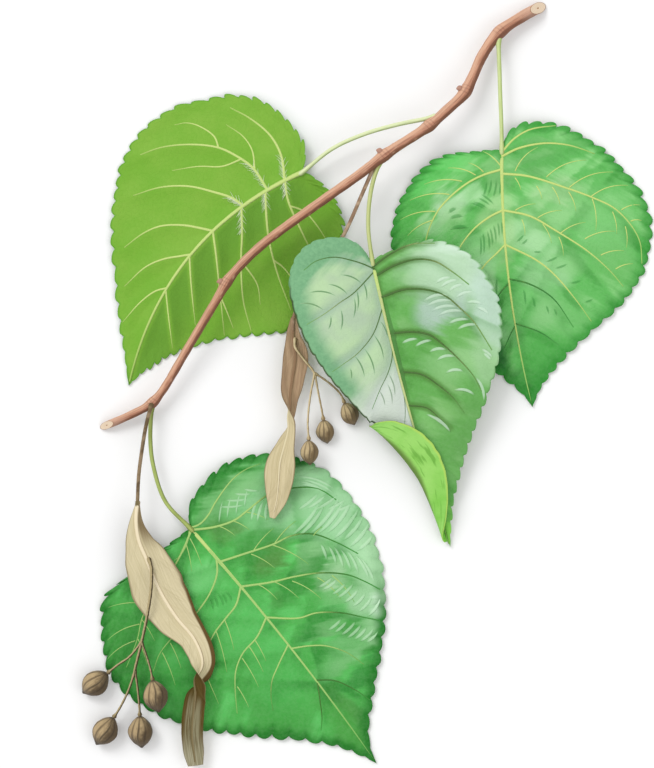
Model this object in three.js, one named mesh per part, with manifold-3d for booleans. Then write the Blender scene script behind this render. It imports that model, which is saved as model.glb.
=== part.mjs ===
// A cut twig of a linden (lime) tree, lying flat: one bare twig, four leaves on their stalks,
// two papery bracts, and the two branched fruit stalks with seven ribbed nutlets.
// Millimetres, +Z up, and the surface that the twig lies on is z = 0.
import * as THREE from 'three';
import { mergeVertices } from 'three/addons/utils/BufferGeometryUtils.js';
import Module from 'manifold-3d';

const wasm = await Module();
wasm.setup();

const UP = new THREE.Vector3(0, 0, 1);
const { clamp, degToRad, lerp } = THREE.MathUtils;

// Room left between pieces that touch on the real plant.
const CLEARANCE = 0.32;
const MERGE_DISTANCE = 1e-3;
const CUT_TOLERANCE = 0.01;

// Moves the whole plant so that the middle of its outline is the origin.
const ORIGIN_SHIFT = new THREE.Vector3(-0.53, -0.17, 0);

// ---------------------------------------------------------------- driving dimensions

const TWIG = {
  thickRadius: 2.1,
  thinRadius: 1.4,
  taperPower: 0.8,
  steps: 48,
  sides: 8,
  nodeSwelling: 0.45,
  nodeLength: 2.4,
  // The nodes, where leaves stood or stand, as shares of the twig's length.
  nodes: [0.088, 0.196, 0.278, 0.362, 0.682, 0.905],
  budNodes: [1, 3, 4],
  budRadius: 0.9,
  budSunk: 0.15,
  budFacets: [7, 5],
  budTurn: 22,
  thickCutAngle: 31,
  thinCutAngle: 26,
  cutBlock: 30,
  route: [
    [59.7, 125.9, 2.3], [51.8, 121.7, 3.4], [43.7, 116, 4.6], [38.4, 108.6, 5.4], [35.2, 101.5, 6.3],
    [32.3, 95.9, 7.2], [26.7, 90.4, 8.5], [20.1, 84.7, 9.8], [6.9, 76, 11.2], [-2, 69.2, 11.6],
    [-13, 61.4, 11.8], [-35, 45.2, 11.4], [-44.9, 35, 10.4], [-49.2, 27.9, 9.6], [-59.1, 11.4, 7.2],
    [-67.6, -2.6, 5.2], [-71, -6.4, 4.6], [-77.9, -10.1, 3.4], [-88.2, -14.5, 1.7],
  ],
};

// Stalks: the radius at the start and at the end of each kind.
const STALK = { sides: 6, step: 3.2 };
const PETIOLE_RADII = [1.1, 0.95];
const BRACT_STALK_RADII = [0.65, 0.58];
const FRUIT_STEM_RADII = [0.62, 0.56];
const PEDICEL_RADII = [0.5, 0.55];

// Blade of a leaf: left and right are seen from above, looking from the stalk to the tip.
// A half's outline runs from the stalk round the basal lobe to the widest place and on to the tip.
//   lobeX, lobeDepth   the lowest place of the basal lobe, sideways and behind the stalk's end
//   width, widestAt    the widest place, sideways and ahead of the stalk's end
//   shoulder           how long the outline keeps going straight ahead there, 0 to 1
//   tipX, tipY         the drawn-out tip's handle, sideways and back from the tip
//   round              how full the outline is between the lobe and the widest place
//   edge               heights of the margin at its quarters, from the lobe to the tip
// A leaf's bow is how far its midrib swings to the right, rib its heights along the midrib, arch
// how far the blade domes up, and upperSide is 1 where its upper side faces up and -1 where it lies.
const BLADE = {
  thickness: 1.15,
  ridge: 0.75,
  rows: 3,
  teeth: 31,
  // The bend of the notch where the stalk joins, as shares of the lobe's place.
  sinusX: 0.12,
  sinusY: 0.75,
  lobeRound: 0.5,
  toothPoint: 0.4,
  toothHollow: 0.65,
  toothLean: 0.72,
  toothReach: 6,
  toothFade: 12,
  toothSlant: 0.5,
  // The side veins leave the midrib from a place a little ahead of the stalk's end, where the
  // first part of the margin, as far as the fan's share, has its centre.
  fan: 0.39,
  fanPower: 1.45,
  fanAhead: 4,
  notch: 0.4,
  veinBend: 0.16,
  veins: [0, 0.13, 0.27, 0.41, 0.53, 0.63, 0.72, 0.8, 0.87, 0.94, 1],
  quilt: 0.8,
};

const LEAVES = [
  {
    name: 'upper_leaf',
    colour: 0x7cb342,
    junction: [-20.8, 70.2, 5.2],
    heading: -129.3,
    length: 91.2,
    bow: 11.4,
    arch: 1.3,
    rib: [5.2, 5.4, 4.6, 2.8, 0.7],
    upperSide: -1,
    right: {
      lobeX: 20, lobeDepth: 10.3, width: 42.3, widestAt: 13.7, shoulder: 0.38,
      tipX: 16.1, tipY: 28.4, round: 0.56,
      edge: [1.6, 0.6, 1.5],
    },
    left: {
      lobeX: 6.1, lobeDepth: 1, width: 40.4, widestAt: 43.6, shoulder: 0.07,
      tipX: 16.1, tipY: 28.6, round: 0.56,
      edge: [1.8, 0.7, 0.6],
    },
    petiole: [[23.4, 88.2, 9], [9, 85.3, 8.6], [-2, 82, 7.6], [-11.4, 77.6, 6.4], [-20.8, 70.2, 5.2]],
  },
  {
    name: 'right_leaf',
    colour: 0x4caf50,
    junction: [44.9, 77.5, 4.2],
    heading: -83.1,
    length: 85.6,
    bow: 2.9,
    arch: 1.7,
    rib: [4.2, 4.6, 4.2, 3, 0.7],
    upperSide: 1,
    right: {
      lobeX: 16.7, lobeDepth: 0.8, width: 37.4, widestAt: 26.1, shoulder: 0.49,
      tipX: 4.6, tipY: 15.3, round: 0.48,
      edge: [1.7, 0.6, 0.8],
    },
    left: {
      lobeX: 11, lobeDepth: 8.1, width: 48.9, widestAt: 29.2, shoulder: 0.54,
      tipX: 14.4, tipY: 24.2, round: 0.38,
      edge: [1.4, 0.6, 1.3],
    },
    petiole: [[43.6, 115, 5], [44, 105, 5.6], [44.3, 95.5, 5.6], [44.7, 86, 5], [44.9, 77.5, 4.2]],
  },
  {
    name: 'middle_leaf',
    colour: 0x6fae7a,
    junction: [2, 40.4, 12.4],
    heading: -74.6,
    length: 97.9,
    bow: 1.3,
    arch: 0.9,
    rib: [12.4, 11.6, 9.4, 5.4, 1],
    upperSide: 1,
    right: {
      lobeX: 14.8, lobeDepth: 11.5, width: 28.9, widestAt: 4.9, shoulder: 0.38,
      tipX: 0.4, tipY: 42.1, round: 0.56,
      edge: [15.8, 15, 6.6],
    },
    left: {
      lobeX: 16.1, lobeDepth: 2.1, width: 37.3, widestAt: 24.6, shoulder: 0.34,
      tipX: 10.8, tipY: 36.2, round: 0.56,
      edge: [13.8, 12.4, 7],
    },
    // The last third of the right margin is rolled over onto the blade.  The columns are steps
    // across the rolled strip, its first one is tucked into the blade and thinner, and its rows
    // are shifted along the margin, so that no corner of the strip meets one of the blade.
    flap: {
      from: 0.655, last: 0.96, to: 0.995, width: 10.6, lean: 0.8, fullness: 0.7, insetPower: 0.7,
      radius: 1.5, turn: 168, step: 0.01, columns: [0, 0.12, 0.22, 0.32, 0.65, 1],
      tuck: 0.6, thin: 0.7, shift: 0.003,
    },
    petiole: [[5.6, 75.2, 11], [2.8, 68.6, 10.6], [1.1, 60.5, 11.2], [0.7, 51, 12], [2, 40.4, 12.4]],
  },
  {
    name: 'lower_leaf',
    colour: 0x2e9b50,
    junction: [-58.1, -47.4, 5],
    heading: -51.7,
    length: 99.6,
    bow: -1.6,
    arch: 1.8,
    rib: [5, 6, 5.2, 3.4, 0.7],
    upperSide: 1,
    right: {
      lobeX: 34, lobeDepth: 0.2, width: 52.3, widestAt: 24.9, shoulder: 0.45,
      tipX: 11.5, tipY: 28, round: 0.32,
      edge: [1.4, 0.6, 1.3],
    },
    left: {
      lobeX: 19.5, lobeDepth: 9.3, width: 46.9, widestAt: 19.9, shoulder: 0.62,
      tipX: 2.2, tipY: 22.7, round: 0.5,
      edge: [1.2, 0.6, 1.5],
    },
    petiole: [
      [-70.8, -6.2, 4.2], [-71.2, -18.3, 5], [-70.2, -26.8, 5.6], [-66.2, -38.6, 5.8], [-58.1, -47.4, 5.3],
    ],
  },
];

// Papery bracts.  Each station of the blade is a place, half of the width and the twist there.
const BRACT = { thickness: 1.05, columns: 3, rowsPerStation: 2, trough: 0.16 };

const BRACTS = [
  {
    name: 'upper_bract',
    colour: 0xa98f6c,
    stalk: [
      [4, 75, 10.6], [-1.4, 62.5, 9.6], [-7, 50, 8], [-15.2, 36.1, 6.4], [-23.6, 23.2, 5.6], [-24, 18, 5.4],
    ],
    stations: [
      [-23.8, 22.4, 5.5, 0.9, 0], [-24, 16.3, 5.2, 2.4, 0], [-23.2, 9.1, 5.2, 4.2, 6],
      [-24.2, 2.3, 5.2, 3.9, 10], [-24.9, -3.6, 5.4, 3.3, 30], [-24.7, -9.1, 5.6, 2.6, 72],
      [-24.9, -13.6, 5.8, 2.6, 112], [-26.6, -19.8, 6.4, 3.5, 150], [-28.3, -26.4, 7.4, 4.9, 170],
      [-28.8, -32.2, 8.2, 4.7, 176], [-29.5, -38.2, 8.4, 3.3, 180], [-30.9, -44, 8.2, 0.9, 180],
    ],
  },
  {
    name: 'lower_bract',
    colour: 0xbfb38c,
    stalk: [
      [-70.6, -5.8, 5.8], [-72.5, -13.5, 7.6], [-73.9, -22, 8], [-74.9, -30, 8], [-75.3, -38, 8],
      [-75.6, -44, 8],
    ],
    stations: [
      [-75.2, -38.6, 8, 1, 0], [-75.7, -45, 8, 2.2, -4], [-74.8, -51.6, 8, 4.7, -8],
      [-72.4, -58, 8, 7, -8], [-68.2, -68, 8.2, 8.6, -6], [-62.4, -76.8, 8.4, 6.9, 0],
      [-56.5, -84, 8.8, 4.8, 6], [-53.6, -91.2, 9, 4, 30], [-54.6, -98, 8.6, 2.9, 90],
      [-56.4, -105, 7.2, 3.1, 150], [-57.4, -115.6, 5.6, 3.6, 172], [-56.8, -122.2, 4.4, 3, 178],
      [-56.1, -126, 3.8, 1.4, 180],
    ],
  },
];

// Fruit stalks.  The stem leaves the bract's midvein, and each pedicel ends in one nutlet.
const FRUIT_STALKS = [
  {
    name: 'upper_fruit_stalk',
    prefix: 'upper_nutlet',
    nutlet: { radius: 2.95, length: 7.8 },
    stem: [[-23.4, 12.4, 6.8], [-20.6, 8.4, 6.9], [-17.4, 4.4, 6.8], [-16.6, 2.6, 6.8]],
    pedicels: [
      [[-16.9, 3.8, 6.8], [-18.4, -4, 7.2], [-19.2, -12.4, 7.2], [-18.9, -18, 6.8]],
      [[-16.9, 3.8, 6.8], [-15.6, -3.4, 5.6], [-14.6, -8.4, 4.2], [-14.1, -11.4, 3.3]],
      [[-16.9, 3.8, 6.8], [-11.8, 0.2, 5.4], [-8.4, -3.2, 4], [-7.2, -5.8, 3.3]],
    ],
  },
  {
    name: 'lower_fruit_stalk',
    prefix: 'lower_nutlet',
    nutlet: { radius: 4, length: 10.2 },
    stem: [
      [-70.6, -61.4, 9.4], [-70.8, -68, 10.4], [-72.2, -77, 10.4], [-73.9, -84.8, 8.8],
      [-76.2, -94, 6.8], [-76.6, -96.4, 6.2],
    ],
    pedicels: [
      [[-73.9, -84.8, 8.8], [-78, -89.8, 6.6], [-82, -92.6, 5.2], [-85.2, -95.2, 4.4]],
      [[-76.5, -95.6, 6.4], [-78.6, -101.4, 5.4], [-81.4, -107, 4.6], [-83.2, -109.8, 4.2]],
      [[-76.2, -94, 6.6], [-75.4, -100, 5.6], [-74.9, -105.4, 4.8], [-74.7, -109.2, 4.2]],
      [[-73.9, -84.8, 8.8], [-72.2, -89.8, 8], [-71, -94, 7.6], [-70.4, -97.2, 7.4]],
    ],
  },
];

const NUTLET = { sides: 12, rings: 8, ribs: 5, ribHeight: 0.055, beak: 0.16 };

// ---------------------------------------------------------------- shared shape helpers

const point = ([x, y, z]) => new THREE.Vector3(x, y, z);

const routeThrough = (places) => new THREE.CatmullRomCurve3(places.map(point), false, 'centripetal');

// A smooth run of heights at even steps from 0 to 1.
function heightsAt(heights, share) {
  const places = heights.map((height) => new THREE.Vector3(0, 0, height));
  return new THREE.CatmullRomCurve3(places, false, 'catmullrom', 0.5).getPoint(share).z;
}

// Moves each vertex of a geometry, joins those that meet and drops the triangles that close up.
function shaped(geometry, placeOf) {
  const position = geometry.attributes.position;
  const from = new THREE.Vector3();
  for (let i = 0; i < position.count; i += 1) {
    from.fromBufferAttribute(position, i);
    const to = placeOf(from);
    position.setXYZ(i, to.x, to.y, to.z);
  }
  geometry.deleteAttribute('normal');
  geometry.deleteAttribute('uv');
  const merged = mergeVertices(geometry, MERGE_DISTANCE);
  const corners = merged.index.array;
  const kept = [];
  for (let i = 0; i < corners.length; i += 3) {
    const [a, b, c] = corners.subarray(i, i + 3);
    if (a !== b && b !== c && c !== a) {
      kept.push(a, b, c);
    }
  }
  merged.setIndex(kept);
  return merged;
}

function toSolid(geometry) {
  const vertProperties = new Float32Array(geometry.attributes.position.array);
  const triVerts = new Uint32Array(geometry.index.array);
  return new wasm.Manifold(new wasm.Mesh({ numProp: 3, vertProperties, triVerts }));
}

function toGeometry(solid) {
  const mesh = solid.simplify(CUT_TOLERANCE).getMesh();
  const geometry = new THREE.BufferGeometry();
  geometry.setAttribute('position', new THREE.BufferAttribute(mesh.vertProperties, 3));
  geometry.setIndex(new THREE.BufferAttribute(mesh.triVerts, 1));
  return geometry;
}

// Sideways and upward directions of a route at a share of its length.
function frameAt(route, share) {
  const along = route.getTangentAt(share);
  const side = new THREE.Vector3().crossVectors(along, UP).normalize();
  const top = new THREE.Vector3().crossVectors(side, along);
  return { along, side, top };
}

// A round rod along a route as far as a share of its length, with a radius that follows the share.
function rod(route, radiusAt, sides, steps, last = 1) {
  return shaped(new THREE.CylinderGeometry(1, 1, 1, sides, steps), (v) => {
    const share = last * clamp(v.y + 0.5, 0, 1);
    const { side, top } = frameAt(route, share);
    const radius = radiusAt(share);
    return route.getPointAt(share).addScaledVector(side, v.x * radius).addScaledVector(top, v.z * radius);
  });
}

// A stalk along a route, thicker by the room and ending short of the route's end.
function stalkSolid(places, radii, room = 0, short = 0) {
  const route = routeThrough(places);
  const steps = Math.round(route.getLength() / STALK.step);
  const radiusAt = (share) => lerp(...radii, share) + room;
  return toSolid(rod(route, radiusAt, STALK.sides, steps, 1 - short / route.getLength()));
}

// ---------------------------------------------------------------- twig

const twigRoute = routeThrough(TWIG.route);

function twigRadius(share) {
  const length = twigRoute.getLength();
  const plain = lerp(TWIG.thickRadius, TWIG.thinRadius, Math.pow(share, TWIG.taperPower));
  let swelling = 0;
  for (const node of TWIG.nodes) {
    const away = ((share - node) * length) / TWIG.nodeLength;
    swelling += TWIG.nodeSwelling * Math.exp(-away * away);
  }
  return plain + swelling;
}

// A block whose lower face is the slanting knife cut through a twig end, seen from above.
function cutBlock(share, outward, angle) {
  const { along, top } = frameAt(twigRoute, share);
  const tilt = degToRad(angle);
  const normal = along.clone().multiplyScalar(outward * Math.sin(tilt)).addScaledVector(top, Math.cos(tilt));
  const reach = twigRadius(share) / Math.tan(tilt);
  const middle = twigRoute.getPointAt(share).addScaledVector(along, -outward * reach);
  const size = TWIG.cutBlock;
  const turn = new THREE.Quaternion().setFromUnitVectors(UP, normal);
  const block = shaped(new THREE.BoxGeometry(size, size, size), (v) => {
    return v.clone().add(new THREE.Vector3(0, 0, size / 2)).applyQuaternion(turn).add(middle);
  });
  return toSolid(block);
}

function budSolid(share, turn) {
  const { side, top } = frameAt(twigRoute, share);
  const out = side.clone().multiplyScalar(Math.cos(turn)).addScaledVector(top, Math.sin(turn));
  const middle = twigRoute.getPointAt(share).addScaledVector(out, twigRadius(share) - TWIG.budSunk);
  const ball = new THREE.SphereGeometry(TWIG.budRadius, ...TWIG.budFacets);
  return toSolid(shaped(ball, (v) => v.clone().add(middle)));
}

function twigSolid(room = 0) {
  return toSolid(rod(twigRoute, (share) => twigRadius(share) + room, TWIG.sides, TWIG.steps));
}

const twigRoom = twigSolid(CLEARANCE);

function makeTwig() {
  let solid = twigSolid();
  for (const node of TWIG.budNodes) {
    solid = solid.add(budSolid(TWIG.nodes[node], degToRad(TWIG.budTurn)));
  }
  return solid
    .subtract(cutBlock(0, -1, TWIG.thickCutAngle))
    .subtract(cutBlock(1, 1, TWIG.thinCutAngle));
}

// ---------------------------------------------------------------- leaves

// The smooth outline of half a blade, with x outward and y toward the tip.
function halfOutline(half, length) {
  const outline = new THREE.Path();
  const { lobeX, lobeDepth, width, widestAt, shoulder, tipX, tipY, round } = half;
  outline.moveTo(BLADE.notch, 0);
  outline.bezierCurveTo(
    BLADE.sinusX * lobeX, -BLADE.sinusY * lobeDepth,
    BLADE.lobeRound * lobeX, -lobeDepth,
    lobeX, -lobeDepth,
  );
  outline.bezierCurveTo(
    lerp(lobeX, width, round), -lobeDepth,
    width, lerp(widestAt, -lobeDepth, round),
    width, widestAt,
  );
  outline.bezierCurveTo(width, lerp(widestAt, length, shoulder), tipX, length - tipY, 0, length);
  return outline;
}

// The margin's samples: each tooth has a point that leans toward the tip, and then a hollow.
function marginSamples() {
  const samples = [{ share: 0, offset: 0 }];
  const add = (place, offset) => {
    const share = place / BLADE.teeth;
    const fade = Math.min(1, BLADE.toothFade * share, BLADE.toothFade * (1 - share));
    samples.push({ share, offset: offset * fade });
  };
  for (let i = 0; i < BLADE.teeth; i += 1) {
    add(i + BLADE.toothLean, BLADE.toothPoint);
    add(i + 1, -BLADE.toothHollow);
  }
  return samples;
}

const MARGIN = marginSamples();

// How strongly the blade bulges between two side veins, 0 on a vein and 1 half-way.
function quiltAt(share) {
  const { veins } = BLADE;
  const next = Math.max(1, veins.findIndex((vein) => vein >= share));
  const between = (share - veins[next - 1]) / (veins[next] - veins[next - 1]);
  return Math.sin(Math.PI * between);
}

// How far up the midrib the line to a share of the margin starts, 0 all through the fan.
function ribShareAt(share) {
  return Math.pow(Math.max(0, (share - BLADE.fan) / (1 - BLADE.fan)), BLADE.fanPower);
}

// A place on half a blade: share runs along the margin, reach from the midrib (0) to the margin (1).
function bladePlace(leaf, half, sample, reach) {
  const { share, offset, linear } = sample;
  const ribShare = ribShareAt(share);
  const rib = new THREE.Vector2(0, lerp(BLADE.fanAhead, leaf.length, ribShare));
  const edge = half.outline.getPoint(share);
  if (offset !== 0) {
    const outward = edge.clone().sub(rib).normalize();
    const slant = Math.max(BLADE.toothSlant, Math.abs(outward.cross(half.outline.getTangent(share))));
    edge.addScaledVector(outward, (offset / slant) * (linear ? 1 : Math.pow(reach, BLADE.toothReach)));
  }
  const bend = rib.clone().add(edge).multiplyScalar(0.5);
  const rise = clamp(2 * (edge.y - rib.y), 0, rib.distanceTo(edge));
  bend.y -= BLADE.veinBend * rise * Math.sin(Math.PI * share);
  const flat = new THREE.QuadraticBezierCurve(rib, bend, edge).getPoint(reach);
  const ahead = clamp(flat.y / leaf.length, 0, 1);
  const ribHeight = heightsAt(leaf.rib, ribShare);
  const edgeHeight = heightsAt([leaf.rib[0], ...half.edge, leaf.rib.at(-1)], share);
  const quilt = leaf.upperSide * BLADE.quilt * quiltAt(share);
  const swell = 4 * reach * (1 - reach) * (leaf.arch * Math.sin(Math.PI * share) + quilt);
  const height = lerp(ribHeight, edgeHeight, reach) + swell;
  const x = half.sign * flat.x + leaf.bow * 4 * ahead * (1 - ahead);
  return new THREE.Vector3(x, flat.y, Math.max(height, BLADE.thickness / 2));
}

// How full the rolled strip is at a share of the margin: 0 at its two ends and 1 at its widest.
function flapFullness(flap, share) {
  const along = clamp((share - flap.from) / (flap.to - flap.from), 0, 1);
  return Math.pow(Math.sin(Math.PI * Math.pow(along, flap.lean)), flap.fullness);
}

// The margin's sample where the strip turns over, set in by the thickness of the roll.
function rollSample(flap, share) {
  const inset = (flap.radius + BLADE.thickness / 2) * Math.pow(flapFullness(flap, share), flap.insetPower);
  return { share, offset: -inset, linear: true };
}

// A place on the rolled strip, and the way that its upper face looks there.
function flapPlace(leaf, half, sample, column) {
  const { flap } = leaf;
  const smooth = (share) => bladePlace(leaf, half, rollSample(flap, Math.min(1, share)), 1);
  const edge = smooth(sample.share);
  const along = smooth(sample.share + flap.step).sub(smooth(sample.share - flap.step)).setZ(0).normalize();
  const out = new THREE.Vector3(along.y, -along.x, 0).multiplyScalar(half.sign);
  const full = degToRad(flap.turn);
  const width = (flap.width + flap.radius * full) * flapFullness(flap, sample.share);
  const reach = lerp(-flap.tuck, width + Math.max(0, sample.offset), column);
  const angle = clamp(reach / flap.radius, 0, full);
  const straight = Math.max(0, reach - full * flap.radius);
  const outward = Math.min(0, reach) + flap.radius * Math.sin(angle) + straight * Math.cos(full);
  const upward = flap.radius * (1 - Math.cos(angle)) + straight * Math.sin(full);
  const place = edge.addScaledVector(out, outward).addScaledVector(UP, upward);
  const face = UP.clone().multiplyScalar(Math.cos(angle)).addScaledVector(out, -Math.sin(angle));
  return { place, face };
}

// A sheet of the blade's thickness over columns and rows, and the place and upper face of each.
function sheetSolid(columns, rows, placeOf) {
  const across = columns.length - 1;
  const along = rows.length - 1;
  const sheet = new THREE.BoxGeometry(1, 1, 1, across, along, 1);
  return toSolid(shaped(sheet, (v) => {
    const column = columns[Math.round((v.x + 0.5) * across)];
    const sample = rows[Math.round((v.y + 0.5) * along)];
    const { place, face, extra } = placeOf(column, sample, v.z);
    place.addScaledVector(face, v.z * (BLADE.thickness + extra));
    place.z = Math.max(place.z, 0);
    return place;
  }));
}

function bladeSolid(leaf) {
  const halves = {};
  for (const [side, sign] of [['left', -1], ['right', 1]]) {
    halves[side] = { ...leaf[side], sign, outline: halfOutline(leaf[side], leaf.length) };
  }
  const { flap } = leaf;
  const onFlap = ({ share }) => flap && share > flap.from && share < flap.last;
  const columns = Array.from({ length: 2 * BLADE.rows + 1 }, (_, i) => i / BLADE.rows - 1);
  let solid = sheetSolid(columns, MARGIN, (column, sample, level) => {
    const rolled = column > 0 && onFlap(sample);
    const half = column < 0 ? halves.left : halves.right;
    const place = bladePlace(leaf, half, rolled ? rollSample(flap, sample.share) : sample, Math.abs(column));
    // The midrib stands out of the underside, and thins out toward the tip.
    const ridged = level * leaf.upperSide < 0 && column === 0;
    return { place, face: UP, extra: ridged ? BLADE.ridge * (1 - ribShareAt(sample.share)) : 0 };
  });
  if (flap) {
    const rows = MARGIN.filter(onFlap).map(({ share, offset }) => ({ share: share + flap.shift, offset }));
    const strip = sheetSolid(flap.columns, rows, (column, sample) => {
      const extra = column === 0 ? -flap.thin : 0;
      return { ...flapPlace(leaf, halves.right, sample, column), extra };
    });
    solid = solid.add(strip);
  }
  return solid.rotate(0, 0, leaf.heading - 90).translate(leaf.junction[0], leaf.junction[1], 0);
}

// A leaf stalk, or with room the thicker rod that clears a way for it.
function petioleSolid(leaf, room = 0) {
  return stalkSolid(leaf.petiole, PETIOLE_RADII, room, room > 0 ? 0 : CLEARANCE);
}

// ---------------------------------------------------------------- bracts

// The blade of a bract: a thin strip with a shallow trough that turns over part-way.
function bractBlade(bract) {
  const { stations } = bract;
  const route = routeThrough(stations);
  const widths = stations.map((station) => station[3]);
  const turns = stations.map((station) => degToRad(station[4]));
  const steps = (stations.length - 1) * BRACT.rowsPerStation;
  return toSolid(shaped(new THREE.BoxGeometry(2, 1, 1, BRACT.columns, steps, 1), (v) => {
    const share = clamp(v.y + 0.5, 0, 1);
    const along = route.getTangent(share);
    const side = new THREE.Vector3().crossVectors(along, UP).normalize();
    const top = new THREE.Vector3().crossVectors(side, along);
    const turn = heightsAt(turns, share);
    const across = side.clone().multiplyScalar(Math.cos(turn)).addScaledVector(top, Math.sin(turn));
    const face = top.clone().multiplyScalar(Math.cos(turn)).addScaledVector(side, -Math.sin(turn));
    const width = heightsAt(widths, share);
    const trough = BRACT.trough * width * (v.x * v.x - 0.5);
    const place = route.getPoint(share).addScaledVector(across, v.x * width);
    return place.addScaledVector(face, trough + v.z * BRACT.thickness);
  }));
}

function bractSolid(bract, petioleRoom) {
  const stalk = stalkSolid(bract.stalk, BRACT_STALK_RADII);
  return stalk.add(bractBlade(bract)).subtract(twigRoom).subtract(petioleRoom);
}

// ---------------------------------------------------------------- fruit

function fruitStalkSolid(stalk) {
  let solid = stalkSolid(stalk.stem, FRUIT_STEM_RADII);
  for (const pedicel of stalk.pedicels) {
    solid = solid.add(stalkSolid(pedicel, PEDICEL_RADII));
  }
  return solid;
}

// A ribbed nut with a short beak, hung from the end of its pedicel.
function nutletGeometry(pedicel, { radius, length }) {
  const route = routeThrough(pedicel);
  const along = route.getTangentAt(1);
  const start = route.getPointAt(1).addScaledVector(along, CLEARANCE);
  const turn = new THREE.Quaternion().setFromUnitVectors(new THREE.Vector3(0, -1, 0), along);
  const middle = start.clone().addScaledVector(along, length / 2);
  const ball = new THREE.SphereGeometry(1, NUTLET.sides, NUTLET.rings);
  return shaped(ball, (v) => {
    const around = Math.atan2(v.z, v.x);
    const girth = Math.hypot(v.x, v.z);
    const rib = 1 + NUTLET.ribHeight * Math.cos(NUTLET.ribs * around) * girth;
    const beak = v.y < 0 ? 1 - NUTLET.beak * v.y * v.y * girth : 1;
    const place = new THREE.Vector3(v.x * radius * rib * beak, v.y * (length / 2), v.z * radius * rib * beak);
    place.applyQuaternion(turn).add(middle);
    place.z = Math.max(place.z, 0);
    return place;
  });
}

// ---------------------------------------------------------------- the plant

const plant = new THREE.Group();
plant.position.copy(ORIGIN_SHIFT);

function addPiece(name, geometry, colour, roughness) {
  const material = new THREE.MeshStandardMaterial({ color: colour, roughness, metalness: 0 });
  const mesh = new THREE.Mesh(geometry, material);
  mesh.name = name;
  plant.add(mesh);
}

addPiece('twig', toGeometry(makeTwig()), 0x8a5a4a, 0.75);

let petioleRoom = null;
for (const leaf of LEAVES) {
  const room = petioleSolid(leaf, CLEARANCE);
  petioleRoom = petioleRoom ? petioleRoom.add(room) : room;
  addPiece(`${leaf.name}_blade`, toGeometry(bladeSolid(leaf).subtract(room)), leaf.colour, 0.55);
  addPiece(`${leaf.name}_petiole`, toGeometry(petioleSolid(leaf).subtract(twigRoom)), 0x9ccc65, 0.6);
}

for (const bract of BRACTS) {
  addPiece(bract.name, toGeometry(bractSolid(bract, petioleRoom)), bract.colour, 0.8);
}

for (const stalk of FRUIT_STALKS) {
  addPiece(stalk.name, toGeometry(fruitStalkSolid(stalk)), 0x8d8060, 0.8);
  stalk.pedicels.forEach((pedicel, i) => {
    addPiece(`${stalk.prefix}_${i + 1}`, nutletGeometry(pedicel, stalk.nutlet), 0x9b8560, 0.85);
  });
}

export default plant;
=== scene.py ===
"""A cut linden twig on a pale table: leaves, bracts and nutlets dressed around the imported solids."""

import math

import bmesh
import bpy
import numpy as np
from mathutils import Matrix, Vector
from mathutils.bvhtree import BVHTree


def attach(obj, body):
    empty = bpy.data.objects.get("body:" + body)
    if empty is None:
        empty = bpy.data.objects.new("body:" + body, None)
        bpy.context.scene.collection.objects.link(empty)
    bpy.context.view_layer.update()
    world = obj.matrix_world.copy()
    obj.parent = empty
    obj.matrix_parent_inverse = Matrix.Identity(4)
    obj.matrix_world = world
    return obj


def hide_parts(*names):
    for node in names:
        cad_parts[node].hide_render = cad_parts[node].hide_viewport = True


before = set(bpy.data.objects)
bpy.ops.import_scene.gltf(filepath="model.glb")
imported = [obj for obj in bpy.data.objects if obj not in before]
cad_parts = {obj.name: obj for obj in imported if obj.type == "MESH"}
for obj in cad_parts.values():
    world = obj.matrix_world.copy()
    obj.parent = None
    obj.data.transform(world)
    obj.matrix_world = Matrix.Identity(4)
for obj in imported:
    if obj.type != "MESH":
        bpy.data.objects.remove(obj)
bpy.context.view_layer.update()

MM = 0.001
UP = np.array([0.0, 0.0, 1.0])

# How much brighter than its own colour a surface looks in the studio's light.
STUDIO_LIGHT = 1.12

# Moves the routes and blades below to the frame's origin, in mm.
ORIGIN_SHIFT = np.array([-0.53, -0.17, 0.0])

# No point of a rolled margin or a nutlet comes lower than this, in mm.
LOWEST = 0.02

# Random phases run up to this, about a full turn in radians.
PHASES = 6.3

# ------------------------------------------------------------------ driving dimensions, in mm

TWIG = {
    "radii": (1.88, 1.28),
    "taper_power": 0.8,
    "node_swelling": 0.45,
    "node_length": 2.4,
    "nodes": [0.088, 0.196, 0.278, 0.362, 0.682, 0.905],
    "bud_nodes": [1, 3, 4],
    "bud_turn": 22,
    "thick_cut_angle": 31,
    "thin_cut_angle": 26,
    "route": [
        (59.7, 125.9, 2.3), (51.8, 121.7, 3.4), (43.7, 116, 4.6), (38.4, 108.6, 5.4),
        (35.2, 101.5, 6.3), (32.3, 95.9, 7.2), (26.7, 90.4, 8.5), (20.1, 84.7, 9.8),
        (6.9, 76, 11.2), (-2, 69.2, 11.6), (-13, 61.4, 11.8), (-35, 45.2, 11.4),
        (-44.9, 35, 10.4), (-49.2, 27.9, 9.6), (-59.1, 11.4, 7.2), (-67.6, -2.6, 5.2),
        (-71, -6.4, 4.6), (-77.9, -10.1, 3.4), (-88.2, -14.5, 1.7),
    ],
}

# The bark's relief: furrows along it, pores, and ring scars at the nodes.
BARK = {
    "rings": 900, "sides": 44, "map_lanes": 6,
    "furrows": 16, "furrow_lobes": (3, 17), "furrow_drift": 0.25, "furrow_height": 0.13,
    "pores": 150, "pore_size": (0.35, 0.7), "pore_shape": 0.42, "pore_height": 0.07,
    "scar_places": (-1.1, -0.2, 0.8), "scar_lean": 0.35, "scar_width": 0.16, "scar_depth": 0.05,
    "sway": 0.03, "sway_pace": 0.9,
}

# A cut end dips between its growth rings and is a little hollow round the pith.
CUT_FACE = {"steps": 12, "inset": 0.97, "ring_dip": 0.05, "rings": 22, "hollow": 0.12, "pith": 0.1}

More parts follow.
